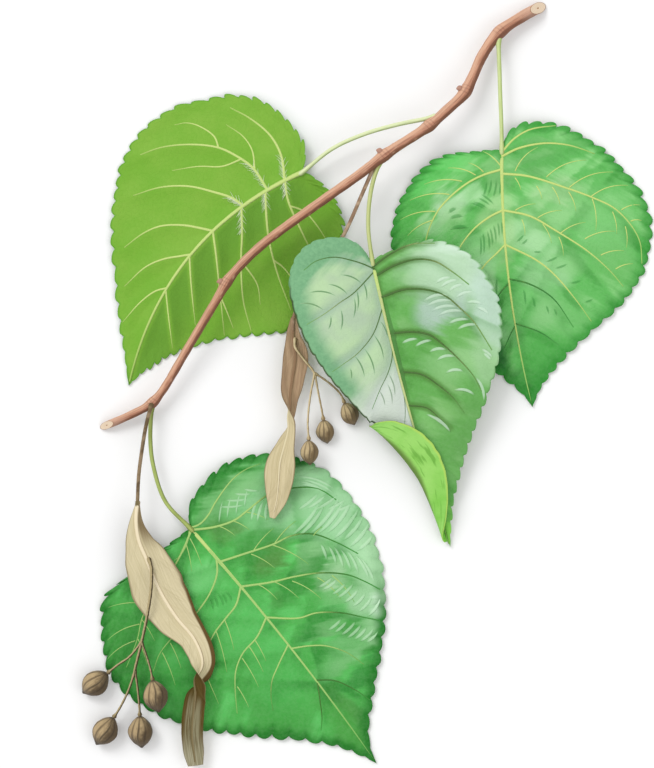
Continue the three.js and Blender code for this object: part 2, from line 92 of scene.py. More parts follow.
BUD = {
    "rows": 22, "sides": 26, "length": 2.3, "point": 2.42, "girth": 0.92, "sunk": 0.55,
    "lean": (0.75, 0.66), "overlap": 0.1, "scale_twist": 1.4,
}

# What all blades share.  Outlines, heights and places of each are in LEAVES, as in the solids.
BLADE = {
    "solid_thickness": 1.15,
    "thickness": 0.45,
    "teeth": 31,
    "sinus_x": 0.12,
    "sinus_y": 0.75,
    "lobe_round": 0.5,
    "tooth_point": 0.4,
    "tooth_hollow": 0.65,
    "tooth_lean": 0.66,
    "tooth_reach": 6,
    "tooth_fade": 12,
    "tooth_slant": 0.5,
    "tooth_sizes": (0.72, 1.2),
    "tooth_wander": 0.28,
    "tooth_rise": 0.6,
    "tooth_fall": 2.2,
    "fan": 0.39,
    "fan_power": 1.45,
    "fan_ahead": 4,
    "notch": 0.4,
    "vein_bend": 0.16,
    "dish": 0.4,
    # The fine mesh: rows along the margin to a tooth, and columns from the midrib to the margin.
    "tooth_rows": 10,
    "columns": 44,
    "column_power": 0.92,
    # Between its veins a blade bulges like a quilt, and all of it is a little rippled.
    "quilt": 0.85,
    "quilt_width": 2.6,
    "quilt_rim": 6,
    "ripple": 0.35,
    "ripple_rim": 8,
}
RIPPLE = {"waves": 9, "sizes": (5, 16)}

# A visual blade is thinner than the solid's and lies this much lower, on the solid's underside.
SETTLED = (BLADE["solid_thickness"] - BLADE["thickness"]) / 2

# The drawing's scale in mm, and the pixel at the origin of the places in this script.
PHOTO_PIXEL = 0.33
PHOTO_CENTRE = np.array([366.0, 384.5])

# Veins, forks and strokes are read off the drawing, in its pixels.  A vein is (size, ink at
# the midrib, ink at its end, its places from the midrib out), with ink from pale (0) to dark (1),
# and a fork is the places of a branch.  A set of strokes is (kind, how many, radius in mm, how far
# each bulges to its left as a share of its length, where they start, where they end), with the
# starts and the ends given at a few of them.
LEAVES = [
    {
        "name": "upper_leaf",
        "slot": "leaf_underside",
        "junction": (-20.8, 70.2, 5.2),
        "heading": -129.3,
        "length": 91.2,
        "bow": 11.4,
        "arch": 1.3,
        "rib": [5.2, 5.4, 4.6, 2.8, 0.7],
        "upper_side": -1,
        "right": {
            "lobe_x": 20, "lobe_depth": 10.3, "width": 42.3, "widest_at": 13.7, "shoulder": 0.38,
            "tip_x": 16.1, "tip_y": 28.4, "round": 0.56,
            "edge": [1.6, 0.6, 1.5],
            "veins": [
                (1, 0, 0, [(283, 178), (281, 155), (270, 135), (250, 118), (230, 107)]),
                (1, 0, 0, [
                    (265, 188), (253, 168), (235, 155), (217, 147), (188, 144), (160, 147), (140, 154),
                ]),
                (1, 0, 0, [(243, 207), (232, 198), (214, 192), (188, 186), (160, 187), (133, 195)]),
                (1, 0, 0, [(215, 232), (200, 228), (182, 225), (160, 226), (143, 233), (124, 247)]),
                (0.95, 0, 0, [(192, 256), (180, 256), (163, 259), (145, 267), (124, 286)]),
                (0.85, 0, 0, [(167, 289), (155, 291), (140, 302), (122, 322)]),
            ],
            "forks": [
                [(256, 168), (252, 150), (243, 136), (226, 124)],
                [(218, 147), (214, 136), (198, 125), (186, 122), (174, 124)],
                [(239, 161), (222, 166), (198, 166), (172, 170)],
            ],
            "tooth_size": 1.35,
        },
        "left": {
            "lobe_x": 6.1, "lobe_depth": 1, "width": 40.4, "widest_at": 43.6, "shoulder": 0.07,
            "tip_x": 16.1, "tip_y": 28.6, "round": 0.56,
            "edge": [1.8, 0.7, 0.6],
            "veins": [
                (0.9, 0, 0, [(285, 180), (288, 200), (301, 230), (315, 258)]),
                (0.95, 0, 0, [(266, 190), (266, 210), (269, 240), (277, 272), (291, 310)]),
                (0.95, 0, 0, [(243, 208), (242, 235), (241, 262), (243, 300), (251, 331)]),
                (0.9, 0, 0, [(216, 234), (216, 255), (219, 285), (224, 335)]),
                (0.85, 0, 0, [(192, 258), (191, 285), (195, 325)]),
                (0.8, 0, 0, [(167, 290), (168, 315), (172, 348)]),
            ],
            "forks": [
                [(290, 206), (304, 211), (316, 224), (328, 242)],
                [(271, 261), (283, 267), (296, 284)],
                [(247, 262), (257, 284), (260, 304)],
                [(219, 296), (226, 310), (233, 328)],
            ],
            "tooth_size": 1.2,
        },
        "strokes": [],
        "petiole": [
            (23.4, 88.2, 9), (9, 85.3, 8.6), (-2, 82, 7.6), (-11.4, 77.6, 6.4), (-20.8, 70.2, 5.2),
        ],
    },
    {
        "name": "right_leaf",
        "slot": "leaf_upper_side",
        "tooth_lean": 0.48,
        "junction": (44.9, 77.5, 4.2),
        "heading": -83.1,
        "length": 85.6,
        "bow": 2.9,
        "arch": 1.7,
        "rib": [4.2, 4.6, 4.2, 3, 0.7],
        "upper_side": 1,
        "right": {
            "lobe_x": 16.7, "lobe_depth": 0.8, "width": 37.4, "widest_at": 26.1, "shoulder": 0.49,
            "tip_x": 4.6, "tip_y": 15.3, "round": 0.48,
            "edge": [1.7, 0.6, 0.8],
            "veins": [
                (0.6, 0, 0, [(501, 167), (494, 158), (485, 152), (474, 149)]),
                (1, 0, 0, [
                    (499, 169), (483, 175), (466, 184), (447, 200), (436, 214), (427, 236), (424, 262),
                ]),
                (1, 0, 0, [(501, 211), (491, 216), (475, 228), (462, 244), (449, 268)]),
                (0.9, 0, 0, [(506, 245), (497, 253), (484, 266), (470, 290)]),
                (0.8, 0.8, 1, [(510, 282), (501, 292), (491, 310)]),
                (0.7, 0.8, 1, [(519, 324), (511, 334), (504, 350)]),
            ],
            "tooth_size": 1.1,
        },
        "left": {
            "lobe_x": 11, "lobe_depth": 8.1, "width": 48.9, "widest_at": 29.2, "shoulder": 0.54,
            "tip_x": 14.4, "tip_y": 24.2, "round": 0.38,
            "edge": [1.4, 0.6, 1.3],
            "veins": [
                (0.9, 0, 0, [(502, 151), (515, 138), (531, 129), (556, 125)]),
                (1, 0, 0, [(503, 157), (519, 148), (545, 143), (570, 145), (595, 153)]),
                (1, 0, 0, [
                    (504, 173), (528, 176), (567, 188), (592, 197), (615, 208), (632, 225), (641, 242),
                    (643, 263),
                ]),
                (1, 0, 0, [(505, 211), (530, 216), (555, 230), (588, 251), (610, 270), (624, 286)]),
                (0.95, 0, 0, [(508, 245), (538, 261), (555, 275), (575, 298), (592, 321)]),
                (0.9, 0.8, 1, [(512, 279), (530, 284), (553, 298), (574, 327)]),
                (0.8, 0.8, 1, [(519, 322), (540, 332), (560, 345)]),
            ],
            "tooth_size": 1.25,
        },
        "strokes": [
            ("vein", 6, 0.26, 0.1,
             [(516, 170), (542, 177), (570, 186), (594, 198), (619, 207), (633, 222)],
             [(537, 148), (586, 158), (615, 170), (631, 187), (640, 201), (644, 222)]),
            ("vein", 7, 0.24, 0.06,
             [(515, 177), (534, 185), (549, 187), (571, 192), (593, 199), (612, 210), (626, 227)],
             [(521, 190), (540, 200), (557, 205), (578, 212), (596, 230), (617, 236), (627, 249)]),
            ("vein", 6, 0.26, 0.08,
             [(516, 210), (541, 220), (561, 235), (586, 240), (601, 255), (615, 269)],
             [(535, 204), (567, 212), (590, 222), (620, 232), (628, 250), (635, 263)]),
            ("vein", 3, 0.22, 0.06, [(522, 220), (541, 224), (559, 237)],
             [(525, 236), (549, 241), (564, 258)]),
            ("vein", 6, 0.26, -0.08,
             [(484, 172), (473, 175), (464, 181), (450, 195), (438, 210), (431, 221)],
             [(467, 162), (446, 169), (425, 184), (411, 201), (398, 219), (407, 236)]),
            ("dark", 4, 0.4, 0.05, [(487, 179), (494, 178), (501, 179)],
             [(483, 197), (490, 198), (499, 198)]),
            ("dark", 4, 0.4, 0.05, [(481, 193), (476, 201), (470, 203)],
             [(494, 204), (491, 208), (485, 209)]),
            ("dark", 3, 0.7, -0.08, [(468, 227), (462, 214), (457, 208)],
             [(451, 229), (449, 217), (447, 214)]),
            ("dark", 7, 0.4, 0.05, [(501, 219), (490, 226), (480, 234)],
             [(502, 236), (493, 246), (480, 260)]),
            ("dark", 7, 0.42, -0.06,
             [(515, 241), (523, 245), (534, 252), (544, 260), (557, 270), (571, 285), (587, 304)],
             [(523, 233), (530, 239), (544, 252), (558, 254), (572, 265), (584, 282), (597, 300)]),
            ("dark", 4, 0.4, 0.05, [(523, 289), (539, 301), (554, 308)],
             [(526, 308), (542, 312), (557, 316)]),
            ("dark", 3, 0.5, -0.05, [(497, 273), (500, 294), (502, 312)],
             [(497, 294), (500, 312), (502, 327)]),
        ],
        "petiole": [
            (43.6, 115, 5), (44, 105, 5.6), (44.3, 95.5, 5.6), (44.7, 86, 5), (44.9, 77.5, 4.2),
        ],
    },
    {
        "name": "middle_leaf",
        "slot": "leaf_folded",
        "junction": (2, 40.4, 12.4),
        "heading": -74.6,
        "length": 97.9,
        "bow": 1.3,
        "arch": 0.9,
        "rib": [12.4, 11.6, 9.4, 5.4, 1],
        "upper_side": 1,
        "right": {
            "lobe_x": 14.8, "lobe_depth": 11.5, "width": 28.9, "widest_at": 4.9, "shoulder": 0.38,
            "tip_x": 0.4, "tip_y": 42.1, "round": 0.56,
            "edge": [15.8, 15, 6.6],
            "veins": [
                (0.55, 1, 0.8, [(370, 270), (364, 265), (351, 261), (334, 258), (316, 262), (304, 271)]),
                (0.5, 0.8, 0.5, [(369, 274), (353, 294), (340, 303), (325, 314), (307, 325)]),
                (0.5, 0.8, 0.6, [(382, 308), (373, 334), (358, 353), (345, 363), (332, 372)]),
                (0.5, 0.8, 0.8, [(390, 326), (392, 354), (388, 372), (380, 389), (372, 409)]),
                (0.45, 1, 1, [(400, 372), (403, 389), (405, 411), (404, 429)]),
            ],
            "tooth_size": 0.4,
        },
        "left": {
            "lobe_x": 16.1, "lobe_depth": 2.1, "width": 37.3, "widest_at": 24.6, "shoulder": 0.34,
            "tip_x": 10.8, "tip_y": 36.2, "round": 0.56,
            "edge": [13.8, 12.4, 7],
            "veins": [
                (0.8, 0.9, 0.6, [(376, 266), (390, 255), (412, 245), (434, 244)]),
                (1, 0.9, 0.6, [(378, 276), (394, 266), (416, 260), (434, 262), (451, 272), (468, 285)]),
                (1, 0.9, 0.6, [
                    (388, 296), (403, 290), (425, 290), (444, 296), (460, 309), (473, 322), (483, 337),
                    (491, 350),
                ]),
                (1, 0.9, 0.7, [
                    (397, 333), (412, 332), (429, 335), (444, 346), (460, 361), (473, 376), (481, 391),
                ]),
                (0.9, 0.9, 0.8, [(405, 370), (420, 374), (438, 385), (453, 398), (464, 413)]),
                (0.8, 0.9, 0.8, [(412, 405), (427, 408), (438, 417), (450, 428)]),
            ],
        },
        "flap": {
            "from": 0.655, "last": 0.99, "to": 0.995, "width": 9.4, "lean": 0.8,
            "fullness": 0.7, "inset_power": 0.7, "radius": 1.5, "turn": 168, "step": 0.01,
            "rows": 150, "columns": 26, "column_power": 1.2, "ripple": 0.25,
        },
        "strokes": [
            ("light", 6, 0.62, -0.12, [(448, 296), (461, 310), (477, 326)],
             [(419, 303), (434, 314), (456, 331)]),
            ("light", 4, 0.6, -0.15, [(447, 350), (457, 361), (474, 396)],
             [(426, 353), (439, 365), (454, 391)]),
            ("light", 2, 0.6, -0.1, [(419, 339), (431, 341)], [(401, 344), (412, 348)]),
            ("light", 6, 0.6, -0.12, [(451, 277), (468, 288), (488, 315)],
             [(434, 283), (450, 296), (474, 307)]),
            ("light", 2, 0.6, 0.05, [(480, 348), (483, 354)], [(492, 357), (490, 361)]),
            ("light", 1, 0.6, 0.12, [(475, 378)], [(484, 404)]),
            ("light", 3, 0.5, 0.08, [(423, 413), (431, 416), (437, 421)],
             [(444, 426), (449, 429), (452, 434)]),
            ("dark", 4, 0.27, -0.1, [(361, 283), (349, 295), (337, 296), (323, 310)],
             [(341, 275), (327, 283), (306, 293), (300, 304)]),
            ("dark", 5, 0.27, 0.08, [(364, 282), (357, 290), (354, 298), (342, 308), (329, 318)],
             [(368, 300), (358, 309), (353, 319), (342, 330), (326, 331)]),
            ("dark", 5, 0.27, 0.08, [(380, 322), (372, 338), (363, 348), (354, 359), (350, 368)],
             [(387, 338), (382, 364), (373, 374), (363, 378), (351, 381)]),
            ("dark", 3, 0.25, 0.08, [(388, 372), (386, 383), (379, 391)],
             [(395, 398), (391, 406), (385, 407)]),
            # A painted shadow beside the midrib.
            ("dark", 1, 1, 0, [(381, 284)], [(413, 417)]),
        ],
        "petiole": [
            (5.6, 75.2, 11), (2.8, 68.6, 10.6), (1.1, 60.5, 11.2), (0.7, 51, 12), (2, 40.4, 12.4),
        ],
    },
    {
        "name": "lower_leaf",
        "slot": "leaf_upper_side",
        "tooth_lean": 0.56,
        "junction": (-58.1, -47.4, 5),
        "heading": -51.7,
        "length": 99.6,
        "bow": -1.6,
        "arch": 1.8,
        "rib": [5, 6, 5.2, 3.4, 0.7],
        "upper_side": 1,
        "right": {
            "lobe_x": 34, "lobe_depth": 0.2, "width": 52.3, "widest_at": 24.9, "shoulder": 0.45,
            "tip_x": 11.5, "tip_y": 28, "round": 0.32,
            "edge": [1.4, 0.6, 1.3],
            "veins": [
                (0.6, 0, 0.1, [(188, 531), (187, 543), (180, 556), (172, 562)]),
                (0.85, 0, 0.1, [(190, 533), (180, 556), (160, 590), (143, 616), (137, 640), (126, 668)]),
                (0.9, 0, 0.1, [
                    (218, 557), (217, 574), (209, 595), (193, 617), (172, 638), (159, 655), (153, 672),
                ]),
                (1, 0, 0.1, [(241, 586), (236, 605), (226, 618), (214, 634), (204, 655), (197, 682)]),
                (1, 0, 0.1, [(266, 618), (257, 637), (243, 653), (236, 670), (235, 687), (237, 714)]),
                (0.9, 0, 0.6, [(287, 647), (278, 666), (272, 681), (271, 697), (273, 711)]),
                (0.8, 0.8, 1, [(317, 684), (320, 701), (322, 718), (321, 731)]),
            ],
            "tooth_size": 1.45,
        },
        "left": {
            "lobe_x": 19.5, "lobe_depth": 9.3, "width": 46.9, "widest_at": 19.9, "shoulder": 0.62,
            "tip_x": 2.2, "tip_y": 22.7, "round": 0.5,
            "edge": [1.2, 0.6, 1.5],
            "veins": [
                (0.8, 0, 0, [
                    (188, 527), (200, 524), (209, 514), (215, 503), (232, 480), (245, 470), (260, 464),
                ]),
                (1, 0, 1, [
                    (192, 531), (215, 527), (235, 520), (247, 511), (270, 494), (296, 488), (318, 489),
                    (336, 500),
                ]),
                (1, 0, 1, [
                    (224, 557), (247, 553), (274, 544), (291, 536), (312, 534), (335, 542), (358, 554),
                ]),
                (1, 0, 1, [
                    (245, 583), (272, 582), (293, 577), (320, 573), (347, 575), (365, 582), (380, 590),
                ]),
                (1, 0, 1, [(268, 617), (299, 618), (316, 613), (341, 613), (365, 618), (380, 621)]),
                (0.9, 0.1, 0.4, [(291, 649), (308, 646), (326, 646), (347, 653), (364, 665)]),
                (0.8, 0.9, 1, [(316, 680), (335, 681), (356, 691), (370, 701)]),
            ],
            "tooth_size": 1.15,
        },
        "strokes": [
            ("vein", 3, 0.24, 0.05, [(218, 528), (232, 521), (246, 512)],
             [(233, 537), (248, 530), (269, 520)]),
            ("vein", 2, 0.24, 0.05, [(247, 554), (274, 546)], [(272, 569), (312, 566)]),
            ("vein", 3, 0.26, 0.05, [(251, 552), (276, 543), (314, 535)],
             [(270, 530), (297, 521), (322, 527)]),
            ("vein", 5, 0.24, 0.06, [(256, 584), (289, 580), (337, 576)],
             [(277, 600), (322, 600), (357, 602)]),
            ("vein", 2, 0.24, 0.03, [(225, 620), (216, 632)], [(234, 649), (227, 674)]),
            ("vein", 4, 0.24, 0.03, [(256, 638), (246, 652), (236, 690)],
             [(267, 659), (262, 681), (248, 712)]),
            ("vein", 3, 0.24, -0.08, [(150, 605), (142, 620), (136, 643)],
             [(107, 608), (103, 638), (107, 664)]),
            ("vein", 2, 0.22, 0.03, [(142, 620), (138, 640)], [(154, 640), (147, 666)]),
            ("vein", 2, 0.22, 0.03, [(172, 640), (161, 655)], [(184, 668), (175, 691)]),
            ("vein", 1, 0.22, 0, [(204, 670)], [(218, 703)]),
            ("vein", 2, 0.22, 0.03, [(186, 545), (190, 538)], [(192, 575), (203, 567)]),
            ("light", 9, 0.75, -0.06, [(291, 535), (326, 535), (358, 552)],
             [(320, 502), (353, 500), (377, 530)]),
            ("light", 5, 0.6, -0.05, [(297, 509), (316, 509), (337, 511)],
             [(316, 494), (337, 496), (356, 503)]),
            ("light", 7, 0.6, 0.05, [(320, 543), (341, 549), (360, 557)],
             [(327, 561), (352, 571), (375, 582)]),
            ("light", 8, 0.6, -0.06, [(316, 587), (341, 601), (368, 616)],
             [(331, 577), (358, 586), (380, 600)]),
            ("light", 7, 0.6, -0.06, [(328, 630), (347, 638), (366, 643)],
             [(341, 619), (362, 624), (379, 631)]),
            ("light", 4, 0.45, -0.05, [(216, 507), (232, 495), (244, 489)],
             [(244, 505), (249, 495), (261, 491)]),
            ("light", 4, 0.35, 0.03, [(219, 524), (232, 518), (245, 507)],
             [(223, 499), (236, 496), (248, 489)]),
            ("light", 3, 0.6, 0.05, [(250, 522), (257, 524), (267, 521)],
             [(255, 503), (264, 501), (268, 503)]),
            ("light", 4, 0.45, 0.08, [(299, 477), (300, 481), (301, 485)],
             [(338, 491), (331, 495), (322, 492)]),
            ("dark", 5, 0.45, 0.1, [(209, 597), (217, 593), (226, 591)],
             [(213, 612), (222, 607), (232, 601)]),
        ],
        "petiole": [
            (-70.8, -6.2, 4.2), (-71.2, -18.3, 5), (-70.2, -26.8, 5.6), (-66.2, -38.6, 5.8),
            (-58.1, -47.4, 5.3),
        ],
    },
]

PETIOLE = {
    "radii": (0.72, 0.64), "step": 0.5, "sides": 14, "start": 0.015, "foot": 0.6, "head": 0.18,
    "foot_length": 2.4, "into_blade": 1.2,
}
HAIRS = {
    "number": 20, "sides": 4, "radii": (0.085, 0.03), "length": (1.8, 3.4), "turn": (0.5, 0.8),
    "curl": 0.12, "vein_share": 0.22, "scatter": 0.5, "stray": 5, "root": 0.1, "rise": (0.3, 0.7),
}

# Veins are tubes half sunk in the blade.  Pairs of radii are at the start and at the far end.
VEIN = {
    "midrib": (0.78, 0.28), "side": (0.55, 0.24), "fork": (0.36, 0.16), "step": 0.9, "sides": 6,
    "flat": 0.8, "sink": 0.25, "taper_power": 0.8, "inked": (0.3, 0.75), "hidden_scale": 1.15,
    "midrib_end": 0.985, "thinning": 0.35, "past_last": 0.3,
}
# The painted shade and highlight beside a side vein: how far off they are strongest and how wide
# they are, in mm.
VEIN_SHADE = (1, 2.4)
VEIN_GLOW = (1.6, 2.2)

# Strokes are low ridges, thin at both ends.
STROKE = {
    "sides": 8, "flat": 0.3, "sink": 0.05, "step": 0.7, "crown_power": 1.3, "thin_end": 0.25,
    "girth_power": 0.7, "scatter": 0.2, "start_shift": (-0.06, 0.08), "end_shift": (-0.05, 0.14),
    "rim": 6.0,
}

# The drawing's light comes this way.  Twig, stalks and nutlets are painted paler on that side.
SUN = np.array([-0.6, 0.45, 0.66])

BRACT = {
    "thickness": 0.5, "rim_thinning": 0.45, "trough": 0.16, "columns": 20, "rows_per_station": 22,
    "waves": 7, "wave_size": (6, 22), "ragged": 0.05, "crimp": 0.3, "pleat": 0.12, "pleats": 9,
    "midvein_end": 0.97, "midvein_power": 0.6, "midvein_least": 0.14, "midvein_sink": 0.3,
    "stalk_radii": (0.65, 0.58), "stalk_foot": 0.35, "stalk_rings": 110, "rod_sides": 8,
}

# Each station is a place, half of the width and the twist there.  Where a bract turns over, its
# section curls: the share of the way, how far that reaches and how deep it is.
BRACTS = [
    {
        "name": "upper_bract",
        "curl": (0.5, 0.06, 0.45),
        "stalk": [
            (4, 75, 10.6), (-1.4, 62.5, 9.6), (-7, 50, 8), (-15.2, 36.1, 6.4), (-23.6, 23.2, 5.6),
            (-24, 18, 5.4),
        ],
        "stations": [
            (-23.8, 22.4, 5.5, 0.9, 0), (-24, 16.3, 5.2, 2.4, 0), (-23.2, 9.1, 5.2, 4.2, 6),
            (-24.2, 2.3, 5.2, 3.9, 10), (-24.9, -3.6, 5.4, 3.3, 30), (-24.7, -9.1, 5.6, 2.6, 72),
            (-24.9, -13.6, 5.8, 2.6, 112), (-26.6, -19.8, 6.4, 3.5, 150),
            (-28.3, -26.4, 7.4, 4.9, 170), (-28.8, -32.2, 8.2, 4.7, 176),
            (-29.5, -38.2, 8.4, 3.3, 180), (-30.9, -44, 8.2, 0.9, 180),
        ],
    },
    {
        "name": "lower_bract",
        "curl": (0.66, 0.045, 0.85),
        "stalk": [
            (-70.6, -5.8, 5.8), (-72.5, -13.5, 7.6), (-73.9, -22, 8), (-74.9, -30, 8),
            (-75.3, -38, 8), (-75.6, -44, 8),
        ],
        "stations": [
            (-75.2, -38.6, 8, 0.5, 0), (-75.7, -45, 8, 2.2, -4), (-74.8, -51.6, 8, 4.7, -8),
            (-72.2, -58, 8, 7.4, -8), (-68, -68, 8.2, 8.9, -6), (-62.4, -76.8, 8.4, 6.9, 0),
            (-56.5, -84, 8.8, 4.8, 4), (-53.8, -91.2, 9, 4.3, 16), (-54.6, -98, 8.6, 3.3, 90),
            (-56.4, -104, 7.2, 3.6, 162), (-57.4, -115.6, 5.6, 3.6, 174),
            (-56.8, -122.2, 4.4, 3.3, 178), (-56.3, -125.9, 3.8, 2.5, 180),
        ],
    },
]

FRUIT_STALK = {
    "stem_radii": (0.56, 0.46), "pedicel_radii": (0.4, 0.36), "step": 0.4, "sides": 14,
    "knob": 0.42, "knob_length": 0.9, "fork": 0.16, "fork_length": 1.3, "uneven": 0.03,
}

# A nutlet hangs clear of its pedicel, and its ribs have dark lines on their crests and painted
# shade in the valleys between.
CLEARANCE = 0.32
NUTLET = {
    "sides": 120, "rings": 52, "pole": 0.03, "ribs": 5, "rib_height": 0.06, "swell": 0.55,
    "crest": 0.75, "crest_power": 6, "rib_sway": 0.08, "turn": 0.22, "neck": 0.34, "beak": 0.16,
    "dents": 12, "dent_height": 0.035, "line": 0.1, "valley": 0.75, "valley_line": 0.15,
    "point": 0.13, "point_width": 0.24, "tip": 1.14,
}

FRUIT_STALKS = [
    {
        "name": "upper_fruit_stalk",
        "prefix": "upper_nutlet",
        "radius": 2.95,
        "length": 7.8,
        "slender": 0.85,
        "rooted": [(-23.4, 15.2, 5.3), (-23.5, 13.8, 6.0)],
        "stem": [(-23.4, 12.4, 6.8), (-20.6, 8.4, 6.9), (-17.4, 4.4, 6.8), (-16.6, 2.6, 6.8)],
        "pedicels": [
            [(-16.9, 3.8, 6.8), (-18.4, -4, 7.2), (-19.2, -12.4, 7.2), (-18.9, -18, 6.8)],
            [(-16.9, 3.8, 6.8), (-15.6, -3.4, 5.6), (-14.6, -8.4, 4.2), (-14.1, -11.4, 3.3)],
            [(-16.9, 3.8, 6.8), (-11.8, 0.2, 5.4), (-8.4, -3.2, 4), (-7.2, -5.8, 3.3)],
        ],
    },
    {
        "name": "lower_fruit_stalk",
        "prefix": "lower_nutlet",
        "radius": 4,
        "length": 10.2,
        "slender": 1.0,
        "rooted": [(-71.6, -57.4, 8.0), (-70.9, -59.6, 8.7)],
        "stem": [
            (-70.6, -61.4, 9.4), (-70.8, -68, 10.4), (-72.2, -77, 10.4), (-73.9, -84.8, 8.8),
            (-76.2, -94, 6.8), (-76.6, -96.4, 6.2),
        ],
        "pedicels": [
            [(-73.9, -84.8, 8.8), (-78, -89.8, 6.6), (-82, -92.6, 5.2), (-85.2, -95.2, 4.4)],
            [(-76.5, -95.6, 6.4), (-78.6, -101.4, 5.4), (-81.4, -107, 4.6), (-83.2, -109.8, 4.2)],
            [(-76.2, -94, 6.6), (-75.4, -100, 5.6), (-74.9, -105.4, 4.8), (-74.7, -109.2, 4.2)],
            [(-73.9, -84.8, 8.8), (-72.2, -89.8, 8), (-71, -94, 7.6), (-70.4, -97.2, 7.4)],
        ],
    },
]

# ------------------------------------------------------------------ curves


def unit(v):
    """Vectors of length one."""
    return v / np.maximum(np.linalg.norm(v, axis=-1, keepdims=True), 1e-12)


def smooth(low, high, value):
    """0 below low, 1 above high and an S-curve between."""
    x = np.clip((value - low) / (high - low), 0, 1)
    return x * x * (3 - 2 * x)


def between(ends, share):
    """From the first of two values to the second."""
    return ends[0] + (ends[1] - ends[0]) * share


def run_along(places):
    """How far each place lies along the way through them."""
    return np.concatenate([[0], np.cumsum(np.linalg.norm(np.diff(places, axis=0), axis=1))])


def turns_round(sides):
    """Even angles round a circle."""
    return np.arange(sides) / sides * 2 * math.pi


def catmull(places, share, even=False):
    """A Catmull-Rom curve through places at shares from 0 to 1, centripetal unless even."""
    p = np.asarray(places, float)
    p = p.reshape(len(p), -1)
    spans = len(p) - 1
    p = np.vstack([2 * p[0] - p[1], p, 2 * p[-1] - p[-2]])
    at = np.clip(np.atleast_1d(share), 0, 1) * spans
    first = np.minimum(at.astype(int), spans - 1)
    w = (at - first)[:, None]
    a, b, c, d = (p[first + i] for i in range(4))
    if even:
        m1, m2 = (c - a) / 2, (d - b) / 2
    else:
        ta, tb, tc = (
            np.sqrt(np.linalg.norm(y - x, axis=1, keepdims=True)) for x, y in ((a, b), (b, c), (c, d))
        )
        m1 = ((b - a) / ta - (c - a) / (ta + tb) + (c - b) / tb) * tb
        m2 = ((c - b) / tb - (d - b) / (tb + tc) + (d - c) / tc) * tb
    return b + m1 * w + (3 * (c - b) - 2 * m1 - m2) * w**2 + (2 * (b - c) + m1 + m2) * w**3


def heights_at(heights, share):
    """A smooth run of heights at even steps from 0 to 1."""
    share = np.asarray(share, float)
    return catmull(heights, share.ravel(), even=True)[:, 0].reshape(share.shape)


class Route:
    """A smooth route through points in space, read by shares of its length."""

    def __init__(self, places):
        self.places = np.asarray(places, float)[:, :3]
        self.t = np.linspace(0, 1, 401)
        self.run = run_along(catmull(self.places, self.t))
        self.length = self.run[-1]

    def at(self, share):
        t = np.interp(np.ravel(share) * self.length, self.run, self.t)
        return catmull(self.places, t)

    def frames(self, share):
        """Forward, sideways and upward directions."""
        step = 0.002
        along = unit(self.at(np.clip(share + step, 0, 1)) - self.at(np.clip(share - step, 0, 1)))
        side = unit(np.cross(along, UP))
        return along, side, np.cross(side, along)


# ------------------------------------------------------------------ meshes


class Shell:
    """Points, faces and values of a piece, gathered before its mesh is made."""

    def __init__(self):
        self.points, self.faces, self.uvs, self.values, self.count = [], [], [], [], 0

    def add(self, points, faces, uv=None, **values):
        """Adds points in mm and faces of three or four of them, with a value for each point."""
        points = np.asarray(points, float).reshape(-1, 3)
        spread = {name: np.broadcast_to(value, len(points)) for name, value in values.items()}
        self.points.append(points)
        self.values.append(spread)
        for group in faces if isinstance(faces, list) else [faces]:
            self.faces.append(group + self.count)
            self.uvs.append(np.zeros((*group.shape, 2)) if uv is None else uv(points, group))
        self.count += len(points)

    def build(self, name, material, with_uv=False):
        points = np.vstack(self.points) + ORIGIN_SHIFT
        mesh = bpy.data.meshes.new(name)
        mesh.vertices.add(len(points))
        mesh.vertices.foreach_set("co", (points * MM).ravel())
        corners = np.concatenate([group.ravel() for group in self.faces])
        sizes = np.concatenate([np.full(len(g), g.shape[1]) for g in self.faces])
        mesh.loops.add(len(corners))
        mesh.loops.foreach_set("vertex_index", corners.astype(np.int32))
        mesh.polygons.add(len(sizes))
        starts = np.concatenate([[0], np.cumsum(sizes)[:-1]])
        mesh.polygons.foreach_set("loop_start", starts.astype(np.int32))
        mesh.update(calc_edges=True)
        for key in sorted({key for spread in self.values for key in spread}):
            data = [s.get(key, np.zeros(len(p))) for s, p in zip(self.values, self.points)]
            layer = mesh.attributes.new(key, "FLOAT", "POINT")
            layer.data.foreach_set("value", np.concatenate(data).astype(np.float32))
        if with_uv:
            layer = mesh.uv_layers.new(name="OFBake")
            layer.data.foreach_set("uv", np.concatenate([u.ravel() for u in self.uvs]))
        self.weld(mesh)
        mesh.shade_smooth()
        piece = bpy.data.objects.new(name, mesh)
        bpy.context.scene.collection.objects.link(piece)
        mesh.materials.append(material)
        return piece

    def weld(self, mesh):
        """Joins points that meet, drops faces that close up and turns all faces outward."""
        work = bmesh.new()
        work.from_mesh(mesh)
        bmesh.ops.remove_doubles(work, verts=work.verts, dist=2e-6)
        bmesh.ops.dissolve_degenerate(work, edges=work.edges, dist=1e-7)
        bmesh.ops.recalc_face_normals(work, faces=work.faces)
        work.to_mesh(mesh)
        work.free()


def grid_faces(rows, columns, closed=False):
    """Quads of a grid of points, row by row, which closes round its columns or not."""
    r = np.arange(rows - 1)[:, None]
    c = np.arange(columns if closed else columns - 1)[None, :]
    n = (c + 1) % columns
    return np.stack(
        [r * columns + c, r * columns + n, (r + 1) * columns + n, (r + 1) * columns + c], -1
    ).reshape(-1, 4)


def fan_faces(ring, centre, turned=False):
    """Triangles from a ring of points to a centre."""
    after = np.roll(ring, -1)
    pair = (after, ring) if turned else (ring, after)
    return np.stack([*pair, np.full(len(ring), centre)], -1)


def capped_faces(rings, sides):
    """Faces of a closed grid of rings with a point at each end, the two last points of all."""
    count = rings * sides
    return [
        grid_faces(rings, sides, closed=True),
        fan_faces(np.arange(sides), count, turned=True),
        fan_faces(np.arange(sides) + count - sides, count + 1),
    ]


